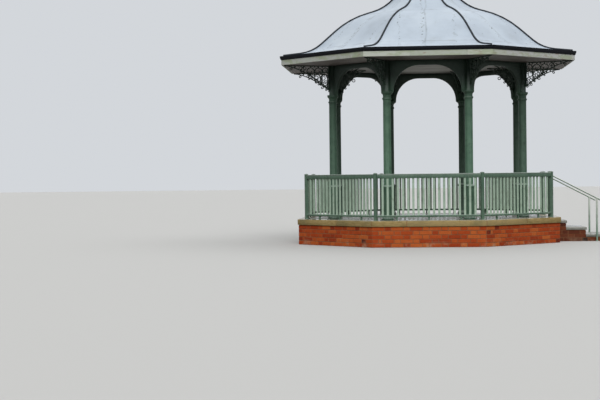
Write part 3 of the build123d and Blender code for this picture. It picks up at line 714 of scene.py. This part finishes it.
for name, y in (("handrail_back", GATE_Y), ("handrail_front", -GATE_Y)):
    tube = drawn_tube(on_handrail(handrail_start_x, y), on_handrail(handrail_end_x, y),
                      HANDRAIL_RADIUS)
    stand = drawn_tube((handrail_post_x, y, 0),
                       (handrail_post_x, y, HANDRAIL_POST_TOP - TUBE_LET_IN),
                       HANDRAIL_POST_RADIUS)
    sleeve = drawn_tube(on_handrail(handrail_post_x - SLEEVE_HALF_LENGTH, y),
                        on_handrail(handrail_post_x + SLEEVE_HALF_LENGTH, y),
                        HANDRAIL_RADIUS + 0.004)
    clear_selection()
    bpy.ops.mesh.primitive_cylinder_add(vertices=24, radius=FLANGE_RADIUS,
                                        depth=FLANGE_THICKNESS,
                                        location=(handrail_post_x, y, FLANGE_THICKNESS / 2))
    flange = settled()
    open_mesh(flange)
    bpy.ops.mesh.bevel(offset=0.0015, segments=1, affect="EDGES")
    close_mesh()
    handrail = join([tube, stand, sleeve, flange], name.replace("handrail", "hand_tube"))
    smooth(handrail, 40)
    finish(handrail, handrail_paint, "railing_paint", name)

# ------------------------------------------------------------
# Columns
# Hollow iron castings with eight flat sides: a moulded base, a pedestal with a ring at rail
# height, the slimmer shaft, a neck ring and a moulded collar, and the post between the arches.
COLUMN_RADIUS = 2.197
CEILING_Z = 3.840
RING_STEPS = 6


def ring_levels(low, high, core, proud):
    """Heights and widths of a rounded ring that stands proud of a shaft."""
    levels = []
    for step in range(RING_STEPS + 1):
        angle = pi * step / RING_STEPS
        swell = sin(angle) ** 0.6 if 0 < step < RING_STEPS else 0
        levels.append(((low + high) / 2 - (high - low) / 2 * cos(angle),
                       core + (proud - core) * swell))
    return levels


# (height, width across flats) of each level, from the foot to the ceiling
first_height, first_width = DECK_Z, 0.240
column_levels = [
    (DECK_Z + 0.030, 0.240), (DECK_Z + 0.036, 0.232), (DECK_Z + 0.045, 0.232),
    (DECK_Z + 0.060, 0.206), (DECK_Z + 0.070, 0.198), (DECK_Z + 0.085, 0.194),
    (1.170, 0.194), (1.185, 0.198), *ring_levels(1.190, 1.245, 0.190, 0.222),
    (1.252, 0.170), (1.275, 0.164), (3.005, 0.160), (3.028, 0.166),
    *ring_levels(3.030, 3.070, 0.168, 0.192), (3.076, 0.162), (3.120, 0.164), (3.130, 0.172),
    (3.142, 0.190), (3.150, 0.206), (3.158, 0.210), (3.160, 0.222), (3.166, 0.230),
    (3.196, 0.230), (3.206, 0.224), (3.206, 0.150), (CEILING_Z, 0.150)]
clear_selection()
bpy.ops.mesh.primitive_circle_add(vertices=8, radius=first_width / 2 / cos(HALF_CORNER),
                                  fill_type="NGON", location=(0, 0, first_height))
column = settled()
column.name = "column"
open_mesh(column)
last_height, last_width = first_height, first_width
for height, width in column_levels:
    draw_on((0, 0, height - last_height))
    grow = width / last_width
    bpy.ops.transform.resize(value=(grow, grow, 1), center_override=(0, 0, height))
    last_height, last_width = height, width
close_outwards()
soften(column, 0.004, 2, 38)
# Painted shade: the paint turns towards near-black high up, where the eaves shade it, and is
# darker on the columns at the sides and back, which stand deeper in shade than the front two.
COLUMN_SHADES = (0, 0, 0.42, 0.5, 0.5, 0.5, 0.5, 0.3)
iron_paint = green_paint("green_iron_paint", "#4b6b57", "#5c7d67", "#33433a", 0.5, 2.85)
for number, (side_turn, tone) in enumerate(zip(SIDE_TURNS, COLUMN_SHADES), 1):
    corner = side_turn - pi / 2 - HALF_CORNER
    shown = copy_at(column, turned(corner) @ moved(COLUMN_RADIUS, 0, 0), f"iron_column_{number}")
    give_tone(shown, tone)
    finish(shown, iron_paint, "green_ironwork", f"column_{number}")
    smooth(shown, 25)
discard(column)

# ------------------------------------------------------------
# Arches
# Plates of cast iron with rounded haunches and a short level crown, let in between the posts
# with their feet on the collars, and with softened edges.
for number in range(1, SIDES + 1):
    plate = merged_copy(f"arch_{number}", f"arch_plate_{number}")
    soften(plate, 0.006, 2, 40)
    finish(plate, iron_paint, "green_ironwork", f"arch_{number}")
    smooth(plate, 30)

# ------------------------------------------------------------
# Scrolled brackets
# Flat wrought bars bent on edge and riveted together: a strap on the post, a top bar and a lower
# bar that sweeps up to its end, filled with C and S scrolls and small curls, outside under the
# soffit and, shorter, inside under the ceiling.
BAR = 0.020
SCROLL_BAR, SCROLL_DEPTH = 0.0205, 0.014
CURL_BAR, CURL_DEPTH = 0.0175, 0.012
CLIP_SIZE = (0.018, BAR * 1.1, 0.034)
BRACKET_FOOT = 3.320
BRACE_BEND = 1.6
BRACE_STEPS = 24
TOP_BAR_LOW = CEILING_Z - BAR
RIVETED_TO_TOP = TOP_BAR_LOW + 0.003
SCROLL_TOP = TOP_BAR_LOW - 0.020
POST_CORNER = 0.075 / cos(HALF_CORNER)
OUTER_LENGTH = 3.290 - COLUMN_RADIUS - POST_CORNER
INNER_LENGTH = 0.640
BEND_STEP = radians(22.5)
SCROLL_TURN, FOOT_TURN = radians(405), radians(360)


def drawn_bar(points, width, depth):
    """A flat bar bent on edge: a small face drawn on from point to point in the X-Z plane."""
    headings = []
    for (x, z, share), (next_x, next_z, next_share) in zip(points, points[1:]):
        heading = atan2(next_z - z, next_x - x)
        while headings and heading - headings[-1] > pi:
            heading -= 2 * pi
        while headings and heading - headings[-1] < -pi:
            heading += 2 * pi
        headings.append(heading)
    facings = [(one + other) / 2 for one, other in zip([headings[0], *headings],
                                                       [*headings, headings[-1]])]
    x, z, share = points[0]
    clear_selection()
    bpy.ops.mesh.primitive_plane_add(size=1, location=(x, 0, z))
    piece = settled()
    open_mesh(piece)
    bpy.ops.transform.resize(value=(width * share, depth, 1), center_override=(x, 0, z))
    bpy.ops.transform.rotate(value=facings[0] - pi / 2, orient_axis="Y", center_override=(x, 0, z))
    for number, (next_x, next_z, next_share) in enumerate(points[1:], 1):
        draw_on((next_x - x, 0, next_z - z))
        here = (next_x, 0, next_z)
        bpy.ops.transform.rotate(value=facings[number] - facings[number - 1], orient_axis="Y",
                                 center_override=here)
        grow = next_share / share
        bpy.ops.transform.resize(value=(grow, 1, grow), center_override=here)
        x, z, share = next_x, next_z, next_share
    close_outwards()
    return piece


def scroll(x, z, radius, start, way, turn):
    """Points of a scroll round a centre: half a turn at its full radius, then winding in."""
    count = round(turn / BEND_STEP)
    points = []
    for n in range(count + 1):
        wound = radius * 0.74 ** max(0, (n * BEND_STEP - pi) / (pi / 4))
        angle = start + way * n * BEND_STEP
        share = (1 - 0.4 * n / count) if n < count - 1 else 0.85
        points.append((x + wound * cos(angle), z + wound * sin(angle), share))
    return points


def tendril(x, z, toward, radius, way):
    """A small curl riveted on at (x, z), from its centre seen in the direction toward."""
    points = scroll(x - radius * cos(toward), z - radius * sin(toward), radius, toward, way,
                    SCROLL_TURN)
    return drawn_bar(points, CURL_BAR * min(1, 0.55 + radius * 18), CURL_DEPTH)


def bracket(length, heads, feet, on_top_bar, above_brace, below_brace, on_legs):
    """One bracket in the X-Z plane, drawn outwards from the corner of the post at X 0."""

    def brace_height(x):
        drop = (TOP_BAR_LOW - BRACKET_FOOT) * (1 - x / length) ** BRACE_BEND
        return TOP_BAR_LOW + BAR / 2 - drop

    bars = [
        block((length, BAR, BAR), (length / 2, 0, CEILING_Z - BAR / 2), 0.002),
        block((BAR, BAR, CEILING_Z - BRACKET_FOOT),
              (BAR / 2, 0, (CEILING_Z + BRACKET_FOOT) / 2), 0.002),
    ]
    brace = [BAR / 2 + (length - BAR / 2) * n / BRACE_STEPS for n in range(BRACE_STEPS + 1)]
    bars.append(drawn_bar([(x, brace_height(x), 1) for x in brace], BAR, BAR))
    # The row under the top bar: each scroll's leg comes up from a foot curled back on the brace
    reach = BAR - 0.004
    for radius, foot_radius in zip(heads, feet):
        x = reach + 0.007 + radius
        z = SCROLL_TOP - 0.007 - radius
        foot = [(x - radius, z - 1.25 * radius, 0.8)]
        if foot_radius:
            foot_x = x - radius - foot_radius
            foot_z = brace_height(foot_x) + 1.2 * foot_radius
            foot = scroll(foot_x, foot_z, foot_radius, 0, -1, FOOT_TURN)[::-1]
        head = scroll(x, z, radius, pi, -1, SCROLL_TURN)
        bars.append(drawn_bar(foot + head, SCROLL_BAR, SCROLL_DEPTH))
        bars.append(block(CLIP_SIZE, (x, 0, SCROLL_TOP + 0.010), 0.002))
        reach = x + radius + 0.003
    # Small curls riveted to the top bar, to the brace above and below, and to the legs
    for x, radius, way in on_top_bar:
        bars.append(tendril(x, RIVETED_TO_TOP, pi / 2, radius, way))
    for aside, back, curls in ((0.005, pi, above_brace), (-0.005, 0, below_brace)):
        for x, radius, way in curls:
            z = brace_height(x)
            square = atan2(brace_height(x + 0.002) - z, 0.002) + pi / 2
            bars.append(tendril(x + aside * cos(square), z + aside * sin(square),
                                square + back, radius, way))
    for x, z, toward, radius, way in on_legs:
        bars.append(tendril(x, z, toward, radius, way))
    return bars


outer_bars = bracket(
    OUTER_LENGTH, (0.062, 0.084, 0.084), (0, 0.067, 0.045),
    [(0.149, 0.013, -1), (0.326, 0.013, 1), (0.545, 0.036, -1), (0.655, 0.045, 1),
     (0.775, 0.014, 1)],
    [(0.040, 0.020, 1), (0.212, 0.027, -1), (0.396, 0.021, -1), (0.480, 0.026, 1),
     (0.590, 0.021, -1)],
    [(0.048, 0.018, 1), (0.112, 0.015, 1), (0.176, 0.022, 1), (0.272, 0.032, 1),
     (0.372, 0.018, 1), (0.452, 0.014, 1), (0.622, 0.016, 1), (0.855, 0.029, 1)],
    [(0.014, 3.610, pi, 0.028, -1), (0.148, 3.622, 0, 0.025, 1), (0.158, 3.596, pi, 0.029, 1)])
slant = [(0.572, RIVETED_TO_TOP, 1), (0.584, 3.806, 1), (0.612, 3.776, 1), (0.640, 3.748, 1),
         (0.652, 3.738, 1)]
outer_bars.append(drawn_bar(slant, CURL_BAR, CURL_DEPTH))
inner_bars = bracket(
    INNER_LENGTH, (0.062, 0.084), (0, 0.056),
    [(0.149, 0.013, -1), (0.352, 0.032, -1), (0.455, 0.021, 1)],
    [(0.036, 0.018, 1), (0.212, 0.026, -1), (0.300, 0.018, 1)],
    [(0.048, 0.018, 1), (0.118, 0.020, 1), (0.196, 0.024, 1), (0.315, 0.041, 1),
     (0.452, 0.016, 1)],
    [(0.014, 3.612, pi, 0.026, -1), (0.148, 3.620, 0, 0.024, 1), (0.158, 3.606, pi, 0.026, 1)])
for bars, place_x, name, node_name in (
        (outer_bars, COLUMN_RADIUS + POST_CORNER, "outer_scrollwork", "outer_brackets"),
        (inner_bars, POST_CORNER - COLUMN_RADIUS, "inner_scrollwork", "inner_brackets")):
    drawn = join(bars, "bracket")
    scrollwork = join([copy_at(drawn, turned(side_turn - HALF_CORNER) @ moved(place_x, 0, 0))
                       for side_turn in SIDE_TURNS], name)
    finish(scrollwork, iron_paint, "green_ironwork", node_name)
    discard(drawn)

# ------------------------------------------------------------
# Soffit and ceiling
# Narrow painted boards, tongued and grooved with a small V at each joint: along the eaves
# outside the arches, and across the deck inside them.
FASCIA_THICKNESS = 0.030
BOARD_THICKNESS = 0.018
BOARD_GAP = 0.0015
BOARD_V = 0.004
BOARD_MIDDLE_Z = CEILING_Z + BOARD_THICKNESS / 2
SOFFIT_OUTER = (3.352 - FASCIA_THICKNESS / cos(HALF_CORNER)) * cos(HALF_CORNER)
SOFFIT_INNER = COLUMN_RADIUS * cos(HALF_CORNER)
SOFFIT_BOARDS = 9
SOFFIT_BOARD_LENGTH = 2.8
board_pitch = (SOFFIT_OUTER - SOFFIT_INNER) / SOFFIT_BOARDS
soffit_boards = []
for n in range(SOFFIT_BOARDS):
    size = (SOFFIT_BOARD_LENGTH, board_pitch - BOARD_GAP, BOARD_THICKNESS)
    far = SOFFIT_INNER + board_pitch * (n + 0.5)
    board = block(size, (0, -far, BOARD_MIDDLE_Z), BOARD_V)
    mitre(board, 0.0008)
    for side_turn in SIDE_TURNS:
        soffit_boards.append(give_tone(copy_at(board, turned(side_turn)), random.random()))
    discard(board)
soffit = join(soffit_boards, "soffit_boards")

# Oil paint on softwood, with knots showing through, and darker beyond a distance from the middle:
# painted shade for the shade that the arches cast near the ceiling's edges.
def board_paint(name, light, dark, stain, shade_from=9.0):
    material, add, shader, place = new_material(name)
    tone = add("Attribute", attribute_name="tone").outputs["Fac"]
    weather = add("TexNoise", {"Vector": place, "Scale": 2.2, "Detail": 6.0})
    both = add("Math", [tone, 0.25, weather], operation="MULTIPLY_ADD")
    paint = set_ramp(add("ValToRGB", [both]), [(0.4, dark), (0.75, light)])
    spots = add("TexNoise", {"Vector": place, "Scale": 6.0, "Detail": 8.0, "Roughness": 0.65})
    stained = patched(add, paint, stain, spots, 0.58, 0.72, 0.5)
    level = add("Mapping", {"Vector": place, "Scale": (1, 1, 0)})
    distance = add("VectorMath", [level], operation="LENGTH").outputs["Value"]
    # Painted shade: darker beyond a distance from the middle, where the arches shade the ceiling.
    darkened = patched(add, stained, "#35322f", distance, shade_from, shade_from + 0.8, 0.75)
    grain_place = add("Mapping", {"Vector": place, "Scale": (4, 60, 60)})
    grain = add("TexNoise", {"Vector": grain_place, "Scale": 2.0, "Detail": 3.0})
    raised = add("Bump", {"Height": grain, "Strength": 0.15, "Distance": 0.001})
    set_inputs(shader, {"Base Color": darkened, "Roughness": 0.6, "Normal": raised})
    return material


# Once cream, the soffit paint is now dull grey-brown, partly from weathering and partly as painted
# shade under the eaves.
soffit_paint = board_paint("weathered_and_shaded_soffit_paint", "#6d645e", "#544b49", "#432f2d")
finish(soffit, soffit_paint, "painted_boards", "soffit")

CEILING_PITCH = 0.112
ceiling_boards = []
reach = COLUMN_RADIUS * cos(HALF_CORNER)
corner_y = COLUMN_RADIUS * sin(HALF_CORNER)
row_count = int(2 * reach / CEILING_PITCH)
row_pitch = 2 * reach / row_count
for row in range(row_count):
    y = -reach + row_pitch * (row + 0.5)
    edge_y = abs(y) + row_pitch / 2
    half = reach if edge_y <= corner_y else reach - (edge_y - corner_y)
    size = (2 * half, row_pitch - BOARD_GAP, BOARD_THICKNESS)
    board = block(size, (0, y, BOARD_MIDDLE_Z), BOARD_V)
    ceiling_boards.append(give_tone(board, random.random()))
ceiling = join(ceiling_boards, "ceiling_boards")
# Its painted shade begins 1 m from the middle.
ceiling_paint = board_paint("grey_ceiling_paint", "#d0ceca", "#b9b5b1", "#8d8680", 1.0)
finish(ceiling, ceiling_paint, "painted_boards", "ceiling")

# ------------------------------------------------------------
# Fascia
# Planed boards painted off-white, butted end to end, each a slightly different age, with green
# algae washed down from the gutter and brownish grime here and there.
FASCIA_LOW, FASCIA_HIGH = 3.840, 4.000
FASCIA_FACE = 3.352 * cos(HALF_CORNER)
FASCIA_REACH = 1.4
FASCIA_JOINT = 0.003
FASCIA_ROUNDING = 0.003
FASCIA_JOINTS = [(-0.35, 0.78), (-0.86,), (0.2,), (-0.6, 0.5), (0.1,), (-0.7, 0.3), (0.4,),
                 (0.95,)]
fascia = join(laid_round(FASCIA_JOINTS, FASCIA_REACH, FASCIA_JOINT, 0, FASCIA_FACE,
                         FASCIA_THICKNESS, FASCIA_LOW, FASCIA_HIGH, FASCIA_ROUNDING),
              "fascia_boards")
# Old white oil paint: patchy from board to board, algae in level runs, and brown-grey grime.
fascia_paint, add, shader, place = new_material("aged_white_fascia_paint")
tone = add("Attribute", attribute_name="tone").outputs["Fac"]
aged = set_ramp(add("ValToRGB", [tone]),
                [(0.0, "#bcc0b0"), (0.3, "#ccd0c6"), (0.6, "#b4bcab"), (1.0, "#c6c8c4")])
run_place = add("Mapping", {"Vector": place, "Scale": (1, 1, 3)})
algae = add("TexNoise", {"Vector": run_place, "Scale": 3.0, "Detail": 8.0, "Roughness": 0.66})
grime = add("TexNoise", {"Vector": run_place, "Scale": 4.5, "Detail": 8.0, "Roughness": 0.66})
greened = patched(add, aged, "#9fac86", algae, 0.47, 0.58, 0.62)
darkened = patched(add, greened, "#9a8069", grime, 0.56, 0.68, 0.62)
set_inputs(shader, {"Base Color": darkened, "Roughness": 0.55})
finish(fascia, fascia_paint, "fascia_paint", "eaves_fascia")

# ------------------------------------------------------------
# Gutter
# Cast iron channel painted black, narrower below with its lower edge rounded, mitred at the
# corners and screwed to the fascia.
GUTTER_LOW, GUTTER_HIGH, GUTTER_OUT = 3.945, 4.028, 0.034
GUTTER_LENGTH = 2.9
GUTTER_SLANT = 0.022
GUTTER_WALL, GUTTER_DEPTH = 0.005, 0.045
channel = block((GUTTER_LENGTH, GUTTER_OUT, GUTTER_HIGH - GUTTER_LOW),
                (0, -FASCIA_FACE - GUTTER_OUT / 2, (GUTTER_LOW + GUTTER_HIGH) / 2))
choose_faces(channel, lambda face: face.normal.z < -0.9)
bpy.ops.transform.translate(value=(0, GUTTER_SLANT, 0))
close_mesh()
mitre(channel)
choose_faces(channel, lambda face: False)
close_mesh()
for edge in channel.data.edges:
    ends = [channel.data.vertices[i].co for i in edge.vertices]
    edge.select = (all(e.z < GUTTER_LOW + 0.001 for e in ends)
                   and all(e.y < -FASCIA_FACE - GUTTER_OUT + GUTTER_SLANT + 0.001 for e in ends))
bpy.ops.object.mode_set(mode="EDIT")
bpy.ops.mesh.select_mode(type="EDGE")
bpy.ops.mesh.bevel(offset=0.014, segments=4, affect="EDGES")
choose_faces(channel, lambda face: face.normal.z > 0.9)
bpy.ops.mesh.inset(thickness=GUTTER_WALL, depth=0)
draw_on((0, 0, -GUTTER_DEPTH))
close_mesh()
gutter = join([copy_at(channel, turned(side_turn)) for side_turn in SIDE_TURNS],
              "gutter_channel")
discard(channel)
smooth(gutter, 35)
# Black bitumen paint, dull and a little dusty.
black_paint, add, shader, place = new_material("black_bitumen_paint")
dust = add("TexNoise", {"Vector": place, "Scale": 6.0, "Detail": 7.0})
dusty = set_ramp(add("ValToRGB", [dust]), [(0.4, "#04060b"), (0.65, "#090c14"), (0.8, "#171a1b")])
set_inputs(shader, {"Base Color": dusty, "Roughness": 0.65, "Specular IOR Level": 0.15})
finish(gutter, black_paint, "black_gutter", "gutter")

# ------------------------------------------------------------
# Roof
# Eight bell-shaped panels of boarding covered with pale grey sheet in strips that run up the
# slope, their seams welded flat, weathered and dotted with small stains.
panels = merged_copy("roof_panels", "roof_sheets")
# Flat coordinates in metres for each face: across its panel, and its height
panel_sheet = panels.data.uv_layers.new(name="panel")
for polygon in panels.data.polygons:
    eighth = round(atan2(polygon.center.x, -polygon.center.y) / radians(45))
    for corner in polygon.loop_indices:
        spot = panels.data.vertices[panels.data.loops[corner].vertex_index].co
        level = turned(-eighth * radians(45)) @ spot
        panel_sheet.data[corner].uv = (level.x, level.z)
smooth(panels, 20)

# Painted sheet, pale blue-grey and chalky: a wandering seam up the middle of each panel, faint
# level laps, short columns of dark nail heads beside the seams, and dirt lodged along them.
roof_sheet, add, shader, place = new_material("weathered_grey_roof_sheet")
cloudy = add("TexNoise", {"Vector": place, "Scale": 0.9, "Detail": 6.0, "Roughness": 0.6})
chalky = set_ramp(add("ValToRGB", [cloudy]),
                  [(0.32, "#a2adb9"), (0.5, "#afbbc7"), (0.68, "#bcc7d1")])
streaks_place = add("Mapping", {"Vector": place, "Scale": (2.5, 2.5, 0.5)})
streaks = add("TexNoise", {"Vector": streaks_place, "Scale": 1.6, "Detail": 8.0,
                           "Roughness": 0.66})
streaked = patched(add, chalky, "#8a908c", streaks, 0.55, 0.75, 0.3)
panel_map = add("UVMap", uv_map="panel").outputs["UV"]
on_panel = add("SeparateXYZ", [panel_map])
across, up = on_panel.outputs["X"], on_panel.outputs["Y"]
wander = add("TexNoise", {"Vector": place, "Scale": 0.8, "Detail": 1.0})
wandering = add("Math", [wander, 0.25, -0.1], operation="MULTIPLY_ADD")
astray = add("Math", [across, wandering], operation="ADD")


def line_share(value, spacing, offset, half_width):
    """1 in the middle of thin lines that repeat at a spacing, and 0 outside them."""
    shifted = add("Math", [value, offset], operation="SUBTRACT")
    nearest = add("Math", [shifted, spacing / 2], operation="PINGPONG")
    return add("MapRange", [nearest, half_width, 0.0], interpolation_type="SMOOTHSTEP")


seam = line_share(astray, 4.0, 0.0, 0.030)
lap = line_share(up, 0.752, 4.198, 0.016)
patchy = add("MapRange", [streaks, 0.38, 0.62, 0.04, 0.55])
sheet = streaked
for line, colour in ((seam, "#6f7880"), (lap, "#7b8087")):
    share = add("Math", [line, patchy], operation="MULTIPLY")
    sheet = add("Mix", {"Factor": share, 6: sheet, 7: colour}, data_type="RGBA")
unsteady = add("TexNoise", {"Vector": place, "Scale": 9.0, "Detail": 1.0})
sideways = add("Math", [unsteady, 0.22, across], operation="MULTIPLY_ADD")
up_or_down = add("Math", [unsteady, 0.3, up], operation="MULTIPLY_ADD")
side_columns = line_share(sideways, 1.14, 0.68, 0.026)
middle_column = line_share(sideways, 4.0, 0.015, 0.030)
nail_columns = add("Math", [side_columns, middle_column], operation="MAXIMUM")
nail_height = line_share(up_or_down, 0.055, 0.0, 0.016)
gone = add("TexNoise", {"Vector": place, "Scale": 11.0, "Detail": 1.0})
still_there = add("MapRange", [gone, 0.44, 0.52, 0, 0.9])
nails = add("Math", [nail_columns, nail_height], operation="MULTIPLY")
nail_share = add("Math", [nails, still_there], operation="MULTIPLY", use_clamp=True)
nailed = add("Mix", {"Factor": nail_share, 6: sheet, 7: "#41484c"}, data_type="RGBA")
ridges = add("Math", [seam, lap], operation="MAXIMUM")
wavy = add("Math", [ridges, 0.15, cloudy], operation="MULTIPLY_ADD")
wave = add("Bump", {"Height": wavy, "Strength": 0.15, "Distance": 0.02})
set_inputs(shader, {"Base Color": nailed, "Roughness": 0.5, "Specular IOR Level": 0.5,
                    "Normal": wave})
finish(panels, roof_sheet, "roof_sheet", "roof_panels")

# ------------------------------------------------------------
# Hip rolls
# A round-topped timber roll on each hip, dressed with dark lead, cut square a little short of
# the gutter.
rolls = merged_copy("hip_rolls", "lead_hip_rolls")
soften(rolls, 0.009, 3, 50)
smooth(rolls, 35)
# Lead gone dark in the weather, with a faint paler bloom.
lead, add, shader, place = new_material("dark_weathered_lead")
bloom = add("TexNoise", {"Vector": place, "Scale": 7.0, "Detail": 6.0})
dark_lead = set_ramp(add("ValToRGB", [bloom]),
                     [(0.35, "#0e1319"), (0.6, "#181f26"), (0.75, "#2b343a")])
set_inputs(shader, {"Base Color": dark_lead, "Roughness": 0.6, "Specular IOR Level": 0.3})
finish(rolls, lead, "dark_hips", "hip_rolls")

# ------------------------------------------------------------
# Finial
# An eight-sided lead-covered cap over the hub, with a cast bulb and spike above it, painted the
# green of the ironwork.
crown = merged_copy("finial", "cast_finial")
soften(crown, 0.006)
smooth(crown, 30)
finish(crown, iron_paint, "dark_finial", "finial")

discard(*bricks_by_length.values())

# ------------------------------------------------------------
# Stand, light and camera
# A pale floor and backdrop, wide soft lamps that stand for the parts of an overcast sky, and the
# camera where the photograph was taken from.
def seen_as_backdrop(add):
    """1 where the camera sees a surface, straight or mirrored, and 0 for the light it sends on."""
    seen = add("LightPath").outputs
    return add("Math", [seen["Is Camera Ray"], seen["Is Glossy Ray"]], operation="MAXIMUM")


clear_selection()
bpy.ops.mesh.primitive_plane_add(size=240, location=(0, 0, 0))
floor = bpy.context.object
floor.name = "studio_floor"
floor_paint, add, shader, place = new_material("pale_studio_floor")
pale = add("Mix", {"Factor": seen_as_backdrop(add), 6: "#4a4945", 7: "#c6c6c4"}, data_type="RGBA")
set_inputs(shader, {"Base Color": pale, "Roughness": 0.9, "Specular IOR Level": 0.1})
floor.data.materials.append(floor_paint)

world = bpy.data.worlds.new("soft_backdrop")
bpy.context.scene.world = world
world.use_nodes = True
add = partial(add_node, world.node_tree)
strength = add("MapRange", [seen_as_backdrop(add), 0, 1, 0.10, 0.8])
set_inputs(world.node_tree.nodes["Background"], {"Color": "#e9edf2", "Strength": strength})


def wide_sun(name, towards_lamp, strength, spread):
    """A far lamp as wide as a bright part of an overcast sky, in a given direction."""
    bpy.ops.object.light_add(type="SUN", location=(0, 0, 30))
    lamp = bpy.context.object
    lamp.name = name
    lamp.data.energy = strength
    lamp.data.angle = radians(spread)
    lamp.rotation_euler = Vector(towards_lamp).to_track_quat("Z", "Y").to_euler()


wide_sun("sky_in_front", (0.03, -1, 0.76), 2.05, 45)
wide_sun("sky_on_the_right", (1, -0.1, 1.6), 0.25, 50)
wide_sun("sky_on_the_left", (-1, -0.1, 1.6), 0.12, 50)
wide_sun("sky_behind", (0, 1, 0.9), 0.3, 50)
wide_sun("sky_overhead", (0.15, 0, 1), 1.3, 95)

camera_data = bpy.data.cameras.new("view")
camera = bpy.data.objects.new("view", camera_data)
bpy.context.scene.collection.objects.link(camera)
camera_data.sensor_width = 36
camera_data.lens = 83.86
camera_data.clip_end = 500
heading = turned(radians(4.676))
tilt = Matrix.Rotation(radians(90 - 0.991), 4, "X")
roll = turned(radians(-0.643))
camera.matrix_world = moved(-0.294, -31.06, 1.473) @ heading @ tilt @ roll
bpy.context.scene.camera = camera
bpy.context.scene.view_settings.view_transform = "Standard"

bpy.context.view_layer.update()
